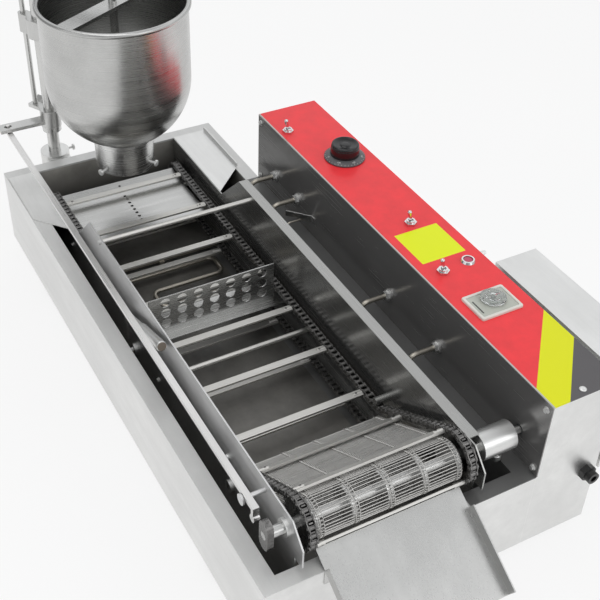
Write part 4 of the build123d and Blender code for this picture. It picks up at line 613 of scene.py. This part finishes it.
def ring_of(mesh, points):
    """New vertices at points."""
    return [mesh.verts.new(point) for point in points]


def bridge(mesh, first, second):
    """Quads between two closed rings of the same length."""
    count = len(first)
    for k in range(count):
        mesh.faces.new((first[k], first[(k + 1) % count], second[(k + 1) % count], second[k]))


def add_tube(mesh, points, radius, sides=8):
    """Round wire through points, with flat ends."""
    points = [Vector(point) for point in points]
    previous = None
    side = None
    for k, point in enumerate(points):
        ahead = (points[min(k + 1, len(points) - 1)] - points[max(k - 1, 0)]).normalized()
        if side is None:
            side = ahead.orthogonal().normalized()
        side = (side - ahead * side.dot(ahead)).normalized()
        up = ahead.cross(side)
        ring = ring_of(mesh, (point + (side * cos(2 * pi * j / sides) + up * sin(2 * pi * j / sides)) * radius
                              for j in range(sides)))
        if previous:
            bridge(mesh, previous, ring)
        else:
            mesh.faces.new(ring)
        previous = ring
    mesh.faces.new(previous)


def add_lathe(mesh, place, profile, segments=48, flutes=0, depth=0.0):
    """Solid turned from rows of radius and height, placed by a matrix; a third value marks a fluted row."""
    previous = None
    for radius, height, *fluted in profile:
        points = []
        for k in range(segments):
            angle = 2 * pi * k / segments
            cut = depth * max(0.0, cos(flutes * angle)) ** 2 if fluted else 0.0
            points.append(place @ Vector(((radius - cut) * cos(angle), (radius - cut) * sin(angle), height)))
        ring = ring_of(mesh, points)
        if previous:
            bridge(mesh, previous, ring)
        else:
            mesh.faces.new(ring)
        previous = ring
    mesh.faces.new(previous)


def add_prism(mesh, outline, low, high, place):
    """Outline in x and y between two heights, placed by a matrix."""
    first = ring_of(mesh, (place @ Vector((x, y, low)) for x, y in outline))
    second = ring_of(mesh, (place @ Vector((x, y, high)) for x, y in outline))
    bridge(mesh, first, second)
    mesh.faces.new(first)
    mesh.faces.new(second)


def scaled(rows, radius, height):
    """Rows of a profile given as shares of a radius and a height."""
    return [(across * radius, along * height) for across, along in rows]


def metric(rows):
    """Rows of a profile given in millimetres."""
    return [(radius * MM, height * MM, *fluted) for radius, height, *fluted in rows]


def oblong(left, right, front, rear):
    """Rectangle outline in millimetres."""
    return [(x * MM, y * MM) for x, y in ((left, front), (right, front), (right, rear), (left, rear))]


def towards(base, direction):
    """Matrix that puts the origin at a base and turns +Z to a direction."""
    return Matrix.Translation(base) @ Vector(direction).to_track_quat("Z", "Y").to_matrix().to_4x4()


def islands(node):
    """Lowest and highest corner of each separate solid of a node."""
    mesh = bmesh.new()
    mesh.from_mesh(frame["nodes"][node].data)
    bmesh.ops.remove_doubles(mesh, verts=mesh.verts, dist=1e-6)
    left, found = set(mesh.verts), []
    while left:
        stack, group = [left.pop()], []
        while stack:
            vert = stack.pop()
            group.append(vert.co.copy())
            for edge in vert.link_edges:
                other = edge.other_vert(vert)
                if other in left:
                    left.remove(other)
                    stack.append(other)
        corners = list(zip(*group))
        found.append((Vector(map(min, corners)), Vector(map(max, corners))))
    mesh.free()
    return found


def middle(node):
    """Middle of a node's box."""
    low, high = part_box(node)
    return (low + high) / 2


# Chains and belt
class Loop:
    """Closed path in x and z of arcs joined by straight runs.

    An arc has a centre, a radius, a start angle, a sweep, and the sign by which a lift changes its radius.
    """

    def __init__(self, arcs):
        self.parts = []
        previous = arcs[-1]
        for arc in arcs:
            start, end = self.on_arc(previous, 1.0), self.on_arc(arc, 0.0)
            self.parts.append(((start, end), (end - start).length))
            self.parts.append((arc, radians(abs(arc[3])) * arc[1]))
            previous = arc
        self.length = sum(length for _, length in self.parts)

    @staticmethod
    def on_arc(arc, share, lift=0.0):
        """Point at a share of an arc's sweep."""
        centre, radius, start, sweep, side = arc
        angle = radians(start + sweep * share)
        return centre + Vector((cos(angle), sin(angle))) * (radius + side * lift)

    def point(self, distance, lift=0.0):
        """Point at a distance along the path, lifted to its outer side."""
        distance %= self.length
        for shape, length in self.parts:
            if distance <= length:
                break
            distance -= length
        if len(shape) > 2:
            return self.on_arc(shape, distance / length, lift)
        start, end = shape
        ahead = (end - start) / length
        return start + ahead * distance + Vector((-ahead.y, ahead.x)) * lift


def flat(point):
    """Place in x and z of a point."""
    return Vector((point.x, point.z))


DRIVE = flat(middle("drive_sprockets"))
TAIL = flat(middle("tail_sprockets"))
DRIVE_R = DRIVE_TEETH * PITCH * MM / (2 * pi)
TAIL_R = TAIL_TEETH * PITCH * MM / (2 * pi)


def chain_loop():
    """Path of the chains: foot of the climb, drive sprocket, bend of the return run and tail sprocket."""
    bend = BEND_R * MM
    ease = bend * tan(radians(INCLINE) / 2)
    slope = tan(radians(INCLINE))
    turn = radians(90 + INCLINE)
    side = Vector((cos(turn), sin(turn))) * DRIVE_R
    upper_z, lower_z = TAIL.y + TAIL_R, TAIL.y - TAIL_R
    top, low = DRIVE + side, DRIVE - side
    upper_x = top.x - (top.y - upper_z) / slope - ease
    lower_x = low.x - (low.y - lower_z) / slope - ease
    return Loop([
        (Vector((upper_x, upper_z + bend)), bend, -90, INCLINE, -1),
        (DRIVE, DRIVE_R, 90 + INCLINE, -180, 1),
        (Vector((lower_x, lower_z + bend)), bend, INCLINE - 90, -INCLINE, 1),
        (TAIL, TAIL_R, -90, -180, 1),
    ])


def link_outline(length):
    """Waisted link plate between two pins on the x axis."""
    radius, waist = PLATE_H * MM / 2, PLATE_H * MM * PLATE_WAIST
    outline = []
    for end, outwards in ((1, 0), (-1, 180)):
        for k in range(PLATE_END_POINTS):
            angle = radians(outwards - PLATE_END_SWEEP / 2 + PLATE_END_SWEEP * k / (PLATE_END_POINTS - 1))
            outline.append((end * length / 2 + radius * cos(angle), radius * sin(angle)))
        outline.append((0.0, end * waist))
    return outline


CHAIN = chain_loop()
LINKS = round(CHAIN.length / (PITCH * MM))
STEP = CHAIN.length / LINKS


def chain_phase():
    """Distance along the chain of the first push bar on its level run."""
    bars = [(low + high) / 2 for low, high in islands("flight_bars")]
    return min(bar.x for bar in bars if abs(bar.z - TAIL.y - TAIL_R) < MM) - TAIL.x


PHASE = chain_phase()


def build_chain(name, node, inwards):
    """Roller chain: inner and outer link plates, rollers, riveted pins and the push bars' end pins."""
    low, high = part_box(node)
    half, plate, gap = ROLLER_W * MM / 2, PLATE_T * MM, PLATE_GAP * MM
    y = low.y + half + 2 * plate if inwards > 0 else high.y - half - 2 * plate
    roller, chamfer = ROLLER_D * MM / 2, ROLLER_CHAMFER * MM
    roller_rows = [(roller - chamfer, -half), (roller, chamfer - half),
                   (roller, half - chamfer), (roller - chamfer, half)]
    pin, pin_half = PIN_D * MM / 2, half + 2 * plate + PIN_OVER * MM
    rivet, rivet_half = RIVET_END_R * MM, pin_half + RIVET_H * MM
    pin_rows = [(rivet, -rivet_half), (pin, -pin_half), (pin, pin_half), (rivet, rivet_half)]
    mesh = bmesh.new()
    for k in range(LINKS):
        here, ahead = CHAIN.point(PHASE + k * STEP), CHAIN.point(PHASE + (k + 1) * STEP)
        centre = Vector((here.x, y, here.y))
        across = towards(centre, (0, 1, 0))
        add_lathe(mesh, across, roller_rows, ROLLER_SIDES)
        add_lathe(mesh, across, pin_rows, PIN_SIDES)
        link = ahead - here
        along = Vector((link.x, 0, link.y)).normalized()
        up = Vector((-along.z, 0, along.x))
        turn = Matrix((along, up, along.cross(up))).transposed().to_4x4()
        place = Matrix.Translation(Vector(((here.x + ahead.x) / 2, y, (here.y + ahead.y) / 2))) @ turn
        start = half + (k % 2) * plate
        outline = link_outline(link.length)
        for side in (-1, 1):
            add_prism(mesh, outline, side * (start + gap), side * (start + plate - gap), place)
        if k % FLIGHT_LINKS == 0:
            reach = (pin_half, pin_half + END_PIN_L * MM)
            add_tube(mesh, [centre + Vector((0, inwards * far, 0)) for far in reach], END_PIN_D * MM / 2)
    piece_of(name, mesh, "machine_frame", "chain_steel", node)


def add_dome(mesh, base, direction, radius, height):
    """Low domed head that stands on a base and goes a little way into it."""
    add_lathe(mesh, towards(base, direction), scaled(PIN_HEAD_ROWS, radius, height), PIN_HEAD_SIDES)


def build_pins():
    """Pin heads near both ends of each push bar, and the screw in the drop plate's lip."""
    low, high = islands("flight_bars")[0]
    nudge = 0.1 * MM
    mesh = bmesh.new()
    for k in range(0, LINKS, FLIGHT_LINKS):
        here, ahead = CHAIN.point(PHASE + k * STEP), CHAIN.point(PHASE + k * STEP + nudge)
        outwards = Vector((here.y - ahead.y, 0, ahead.x - here.x)).normalized()
        for y in (low.y + PIN_INSET * MM, high.y - PIN_INSET * MM):
            surface = Vector((here.x, y, here.y)) + outwards * BAR_BOSS_D * MM / 2
            add_dome(mesh, surface, outwards, PIN_HEAD_D * MM / 2, PIN_HEAD_H * MM)
    plate_low, plate_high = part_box("drop_plate")
    lip = Vector((plate_low.x, (plate_low.y + plate_high.y) / 2, plate_high.z))
    lip += Vector((LIP_SCREW[0], 0, -LIP_SCREW[1])) * MM
    add_dome(mesh, lip, LIP_NORMAL, LIP_SCREW_R * MM, LIP_SCREW_H * MM)
    piece_of("bar_pins", mesh, "machine_frame", "chain_steel")


def build_belt():
    """Wire belt: straight wires across, each hooked over the next one at the joints."""
    wheel, idler_r = BELT_WHEEL_R * MM, BELT_IDLER_R * MM
    idler = flat(middle("belt_idler"))
    between = DRIVE - idler
    lower = 2 * atan2(between.y, between.x) * 180 / pi - INCLINE
    loop = Loop([
        (DRIVE, wheel, 90 + INCLINE, lower - INCLINE - 180, 1),
        (idler, idler_r, lower - 90, INCLINE - lower - 180, 1),
    ])
    low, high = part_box("wire_belt")
    wires = round(loop.length / (BELT_PITCH * MM))
    step = loop.length / wires
    lift, radius = BELT_LIFT * MM, BELT_WIRE_D * MM / 2
    hook = HOOK_W * MM
    joints = [low.y + hook + (high.y - low.y - 2 * hook) * k / (BELT_JOINTS - 1) for k in range(BELT_JOINTS)]
    mesh = bmesh.new()

    def spot(distance, y, extra=0.0):
        """Point of the belt at a distance along it, at a y and an extra lift."""
        place = loop.point(distance, lift + extra)
        return place.x, y, place.y

    for k in range(wires):
        along = k * step
        start = low.y + radius
        for y in joints:
            add_tube(mesh, [spot(along, start), spot(along, y - hook / 2)], radius)
            bend = [spot(along + ahead * step, y + side * hook, up * radius)
                    for ahead, side, up in HOOK_POINTS]
            add_tube(mesh, bend, radius, HOOK_SIDES)
            start = y + hook / 2
        add_tube(mesh, [spot(along, start), spot(along, high.y - radius)], radius)
    piece_of("hooked_wire_belt", mesh, "machine_frame", "brushed_stainless", "wire_belt", look=WIRE)


build_chain("front_roller_chain", "front_chain", 1)
build_chain("rear_roller_chain", "rear_chain", -1)
build_pins()
build_belt()


# Fasteners and feet
def add_bolt(mesh, base, direction, radius, height):
    """Washer and chamfered hexagon head."""
    place = towards(base, direction)
    washer, head, chamfer = WASHER_H * height, HEAD_R * radius, CHAMFER_AT * height
    add_lathe(mesh, place, scaled(WASHER_ROWS, radius, washer), SCREW_SIDES)
    for scale, low, high in ((1.0, washer, chamfer), (CHAMFER_R, chamfer, height)):
        outline = [(scale * head * cos(k * pi / 3), scale * head * sin(k * pi / 3)) for k in range(6)]
        add_prism(mesh, outline, low, high, place)


def build_screws():
    """Hexagon bolts on upright faces and low domed screws on level ones."""
    mesh = bmesh.new()
    for low, high in islands("machine_screws"):
        size, centre = high - low, (low + high) / 2
        across = sorted(size)[1]
        axis = max(range(3), key=lambda k: abs(size[k] - across))
        behind_frame = middle("flight_bars").y < centre.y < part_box("rear_wing")[1].y
        behind_cabinet = centre.y > middle("cabinet_body").y
        direction = Vector((0, 0, 0))
        direction[axis] = 1 if axis == 2 or behind_frame or behind_cabinet else -1
        base = centre - direction * size[axis] / 2
        if axis == 2:
            rows = scaled(PANEL_SCREW_ROWS, across / 2, size.z)
            add_lathe(mesh, towards(base, direction), rows, SCREW_SIDES)
        else:
            add_bolt(mesh, base, direction, across / 2, size[axis])
    piece_of("hexagon_screws", mesh, "machine_frame", "screw_steel", "machine_screws")


def build_feet():
    """Rubber feet with a groove and rounded rims."""
    mesh = bmesh.new()
    for low, high in islands("rubber_feet"):
        centre = (low + high) / 2
        rows = scaled(FOOT_ROWS, (high.x - low.x) / 2, high.z - low.z)
        add_lathe(mesh, Matrix.Translation((centre.x, centre.y, low.z)), rows, FOOT_SIDES)
    piece_of("ribbed_feet", mesh, "machine_frame", "foot_rubber", "rubber_feet")


build_screws()
build_feet()


# Panel devices
PRINT = plastic("dial_print", (0.75, 0.75, 0.73, 1.0), 0.5, wear=1.0)
DARK_PRINT = plastic("dark_print", (0.05, 0.05, 0.05, 1.0), 0.5, wear=1.0)
INSIDE = plastic("timer_inside", (0.5, 0.52, 0.46, 1.0), 0.4, wear=1.1)
SKIRT = plastic("knob_skirt", (0.10, 0.10, 0.105, 1.0), 0.3, wear=1.6)
GLOSS_BLACK = plastic("gloss_black", (0.012, 0.012, 0.013, 1.0), 0.18, 1500.0, GLOSS_RELIEF, wear=2.5)


def words(text, size, place):
    """Flat digits as a mesh, centred on a matrix."""
    curve = bpy.data.curves.new("digits", "FONT")
    curve.body, curve.size, curve.extrude = text, size, DIGIT_T * MM
    curve.align_x = curve.align_y = "CENTER"
    holder = bpy.data.objects.new("digits", curve)
    data = bpy.data.meshes.new_from_object(holder)
    data.transform(place)
    bpy.data.objects.remove(holder)
    bpy.data.curves.remove(curve)
    return data


def build_knob():
    """Thermostat knob: smooth cap with a dished top, on a grey skirt with a printed scale."""
    low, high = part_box("thermostat_knob")
    centre = (low + high) / 2
    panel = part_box("control_panel")[1].z
    base = Matrix.Translation((centre.x, centre.y, panel))
    skirt, top = (high.x - low.x) / 2 / MM, (high.z - panel) / MM
    grip, rim, foot = KNOB_GRIP_R, KNOB_RIM_Z, KNOB_FOOT_Z
    rim_r, foot_r = skirt - 0.6, grip + 1.8
    mesh = bmesh.new()
    add_lathe(mesh, base, metric([
        (skirt - 1.5, 0.4), (skirt, 1.0), (skirt, 2.2), (rim_r, rim), (foot_r, foot), (grip - 2.0, foot),
    ]), KNOB_SIDES)
    piece_of("knob_skirt", mesh, "thermostat_knob", "black_plastic", look=SKIRT)
    mesh = bmesh.new()
    add_lathe(mesh, base, metric([
        (grip + 1.0, foot - 0.8), (grip + 1.5, foot + 0.6), (grip + 0.6, top - 5.2), (grip - 0.2, top - 4.8),
        (grip - 0.2, top - 3.8), (grip + 0.3, top - 3.4), (grip, top - 1.4), (grip - 0.9, top - 0.4),
        (grip - 2.2, top), (grip - 3.6, top - 0.4), (grip - 6.0, top - 2.2), (8.5, top - 2.6),
        (7.2, top - 1.4), (5.8, top - 0.9), (1.0, top - 0.8),
    ]), KNOB_SIDES)
    piece_of("smooth_knob", mesh, "thermostat_knob", "black_plastic", "thermostat_knob", look=GLOSS_BLACK)
    mesh = bmesh.new()
    slope = atan2(foot - rim, rim_r - foot_r)
    lean = Matrix.Rotation(slope, 4, "Y")
    digits_z = rim + (rim_r - grip - KNOB_DIGITS_OUT) * tan(slope) + TICK_T
    digits = Matrix.Translation(Vector((grip + KNOB_DIGITS_OUT, 0, digits_z)) * MM) @ lean
    for k in range(KNOB_TICKS):
        major = k % KNOB_MAJOR == 0
        turn = base @ Matrix.Rotation(radians(KNOB_FIRST + TICK_STEP * k), 4, "Z")
        half = (KNOB_LONG if major else KNOB_SHORT) / 2
        tick = oblong(-half, half, -KNOB_TICK_W / 2, KNOB_TICK_W / 2)
        spot = Vector((rim_r - half, 0, rim + TICK_T / 2 + half * tan(slope))) * MM
        add_prism(mesh, tick, 0, TICK_T * MM, turn @ Matrix.Translation(spot) @ lean)
        if major:
            number = str(k // KNOB_MAJOR * KNOB_VALUE)
            mesh.from_mesh(words(number, KNOB_DIGITS * MM, turn @ digits @ Matrix.Rotation(pi / 2, 4, "Z")))
    piece_of("knob_scale", mesh, "thermostat_knob", "white_plastic", look=PRINT)


def rounded(width, depth, radius, steps=6):
    """Rectangle outline with round corners."""
    outline = []
    for k, (sx, sy) in enumerate(((1, 1), (-1, 1), (-1, -1), (1, -1))):
        for j in range(steps + 1):
            angle = pi / 2 * (k + j / steps)
            x = sx * (width / 2 - radius) + radius * cos(angle)
            y = sy * (depth / 2 - radius) + radius * sin(angle)
            outline.append((x, y))
    return outline


def build_timer():
    """Timer: white frame, grey face with a printed scale, and a clear ribbed dial with a red line."""
    low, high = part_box("timer_case")
    centre = (low + high) / 2
    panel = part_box("control_panel")[1].z
    width, depth = high.x - low.x, high.y - low.y
    place = Matrix.Translation((centre.x, centre.y, 0))

    def inset_outline(inset, radius):
        """Outline of the case moved inwards, with round corners."""
        return rounded(width - 2 * inset * MM, depth - 2 * inset * MM, radius * MM)

    mesh = bmesh.new()
    rings = []
    for inset, down, corner in ((0, (high.z - panel) / MM, TIMER_CORNER), *TIMER_ROWS):
        outline = inset_outline(inset, corner)
        rings.append(ring_of(mesh, (place @ Vector((x, y, high.z - down * MM)) for x, y in outline)))
    for first, second in zip(rings, rings[1:]):
        bridge(mesh, first, second)
    mesh.faces.new(rings[0])
    mesh.faces.new(rings[-1])
    add_prism(mesh, inset_outline(*TIMER_BODY), low.z, panel, place)
    piece_of("timer_frame", mesh, "machine_frame", "white_plastic", "timer_case")

    face_z = high.z - TIMER_FACE_DEPTH * MM
    mesh = bmesh.new()
    add_prism(mesh, inset_outline(*TIMER_FACE), panel, face_z, place)
    piece_of("timer_face", mesh, "machine_frame", "white_plastic", look=INSIDE)

    dial_low, dial_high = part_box("timer_dial")
    hub = (dial_low + dial_high) / 2
    radius = (dial_high.x - dial_low.x) / 2 / MM
    outer = radius - TIMER_SCALE_IN
    digits = Matrix.Translation(Vector((outer - TIMER_DIGITS_IN, 0, TICK_T)) * MM)
    mesh = bmesh.new()
    for k in range(TIMER_TICKS):
        major = k % TIMER_MAJOR == 0
        turn = Matrix.Rotation(radians(TIMER_FIRST + TICK_STEP * k), 4, "Z")
        turn = Matrix.Translation((hub.x, hub.y, face_z)) @ turn
        inner = outer - (TIMER_LONG if major else TIMER_SHORT)
        tick = oblong(inner, outer, -TIMER_TICK_W / 2, TIMER_TICK_W / 2)
        add_prism(mesh, tick, 0, TICK_T * MM, turn)
        if major:
            number = str(k // TIMER_MAJOR)
            mesh.from_mesh(words(number, TIMER_DIGITS * MM, turn @ digits @ Matrix.Rotation(-pi / 2, 4, "Z")))
    slit = Matrix.Translation((centre.x + SLIT_RIGHT * MM, centre.y - depth * SLIT_SHARE, face_z))
    length, across = SLIT_SIZE
    add_prism(mesh, oblong(-length / 2, length / 2, -across / 2, across / 2), 0, LINE_T * MM, slit)
    piece_of("timer_scale", mesh, "machine_frame", "black_plastic", look=DARK_PRINT)

    mesh = bmesh.new()
    foot = high.z + DIAL_GAP * MM
    tall = (dial_high.z - foot) / MM
    add_lathe(mesh, Matrix.Translation((hub.x, hub.y, foot)), metric([
        (radius - 0.8, 0), (radius, 0.8), (radius, 2.4), (radius - 1.0, 3.2), (radius * 0.72, 3.6),
        (radius * 0.64, 4.2, True), (radius * 0.6, tall - 1.2, True), (radius * 0.56, tall - 0.2),
        (radius * 0.5, tall), (radius * 0.28, tall), (radius * 0.22, tall - 0.8), (0.8, tall - 0.8),
    ]), DIAL_SIDES, DIAL_FLUTES, FLUTE_DEPTH * MM)
    spindle = [(SPINDLE_R * MM, dial_low.z), (SPINDLE_R * MM, foot + SPINDLE_OVERLAP * MM)]
    add_lathe(mesh, Matrix.Translation((hub.x, hub.y, 0)), spindle, SPINDLE_SIDES)
    piece_of("clear_dial", mesh, "timer_dial", "clear_plastic", "timer_dial")
    mesh = bmesh.new()
    pointer = oblong(-POINTER_W / 2, POINTER_W / 2, POINTER_FROM, POINTER_TO)
    sunk = Matrix.Translation((hub.x, hub.y, dial_high.z - POINTER_SUNK * MM))
    add_prism(mesh, pointer, 0, LINE_T * MM, sunk)
    piece_of("dial_pointer", mesh, "timer_dial", "red_lens")


build_knob()
build_timer()


# Stage, light and camera; each fade of the dome runs between two directions and has a strength at each
FLOOR_HALF = 12.0
DOME_RISE = (-0.1, 0.6, 0.45, 1.05)
DOME_TOP = (0.68, 0.92, 1.0, 0.6)
DOME_FRONT = (-0.55, 0.15, 0.4, 1.0)


def build_floor():
    """Level floor at height zero."""
    mesh = bmesh.new()
    corners = ((-1, -1), (1, -1), (1, 1), (-1, 1))
    mesh.faces.new(ring_of(mesh, (Vector((x, y, 0)) * FLOOR_HALF for x, y in corners)))
    data = bpy.data.meshes.new("studio_floor")
    mesh.to_mesh(data)
    mesh.free()
    data.materials.append(floor_paint("studio_floor"))
    made = bpy.data.objects.new("studio_floor", data)
    bpy.context.scene.collection.objects.link(made)


def build_light(name, place, aim, size, power):
    """Rectangular lamp at a place, turned to an aim."""
    lamp = bpy.data.lights.new(name, "AREA")
    lamp.shape = "RECTANGLE"
    lamp.size, lamp.size_y = size
    lamp.energy = power
    made = bpy.data.objects.new(name, lamp)
    made.location = place
    made.rotation_mode = "QUATERNION"
    made.rotation_quaternion = (Vector(aim) - Vector(place)).to_track_quat("-Z", "Y")
    bpy.context.scene.collection.objects.link(made)


def build_world():
    """White backdrop for the camera, and a dome for light and reflections.

    The dome is dimmer low down, on top and in front.
    """
    world = bpy.data.worlds.new("studio")
    world.use_nodes = True
    bpy.context.scene.world = world
    nodes, links = world.node_tree.nodes, world.node_tree.links
    split = nodes.new("ShaderNodeSeparateXYZ")
    links.new(nodes.new("ShaderNodeTexCoord").outputs["Generated"], split.inputs[0])
    strength = None
    for axis, fade in (("Z", DOME_RISE), ("Z", DOME_TOP), ("Y", DOME_FRONT)):
        ramp = nodes.new("ShaderNodeMapRange")
        for socket, value in zip(("From Min", "From Max", "To Min", "To Max"), fade):
            ramp.inputs[socket].default_value = value
        links.new(split.outputs[axis], ramp.inputs["Value"])
        if strength is None:
            strength = ramp.outputs["Result"]
            continue
        product = nodes.new("ShaderNodeMath")
        product.operation = "MULTIPLY"
        links.new(strength, product.inputs[0])
        links.new(ramp.outputs["Result"], product.inputs[1])
        strength = product.outputs[0]
    around = nodes["Background"]
    around.inputs["Color"].default_value = (0.98, 0.99, 1.0, 1.0)
    links.new(strength, around.inputs["Strength"])
    white = nodes.new("ShaderNodeBackground")
    white.inputs["Color"].default_value = (1.0, 1.0, 1.0, 1.0)
    white.inputs["Strength"].default_value = 1.0
    path = nodes.new("ShaderNodeLightPath")
    blend = nodes.new("ShaderNodeMixShader")
    links.new(path.outputs["Is Camera Ray"], blend.inputs["Fac"])
    links.new(around.outputs[0], blend.inputs[1])
    links.new(white.outputs[0], blend.inputs[2])
    links.new(blend.outputs[0], nodes["World Output"].inputs["Surface"])


def build_camera():
    """Camera at the photograph's place, with its roll."""
    azimuth, elevation, roll = radians(AZIMUTH), radians(ELEVATION), radians(ROLL)
    back = Vector((sin(azimuth) * cos(elevation), -cos(azimuth) * cos(elevation), sin(elevation)))
    right = (-back).cross(Vector((0, 0, 1))).normalized()
    down = (-back).cross(right)
    turned_right = cos(roll) * right - sin(roll) * down
    turned_down = sin(roll) * right + cos(roll) * down
    lens = bpy.data.cameras.new("photo_camera")
    lens.sensor_width = SENSOR
    lens.lens = FOCAL_PIXELS / PHOTO_SIZE * SENSOR
    lens.shift_y = (CENTRE_ROW - PHOTO_SIZE / 2) / PHOTO_SIZE
    made = bpy.data.objects.new("photo_camera", lens)
    made.matrix_world = Matrix.Translation(CAMERA_PLACE) @ Matrix(
        (turned_right, -turned_down, back)).transposed().to_4x4()
    bpy.context.scene.collection.objects.link(made)
    bpy.context.scene.camera = made


build_floor()
build_light("overhead_softbox", (0.1, -0.6, 2.6), (0, 0, 0.1), (2.6, 1.6), 16)
build_light("front_softbox", (0.3, -2.4, 1.3), (0, 0, 0.15), (2.2, 1.2), 6)
build_light("end_softbox", (2.2, 0.9, 1.2), (0.2, 0.1, 0.2), (1.4, 1.2), 5)
build_world()
build_camera()
bpy.context.scene.view_settings.view_transform = "Standard"
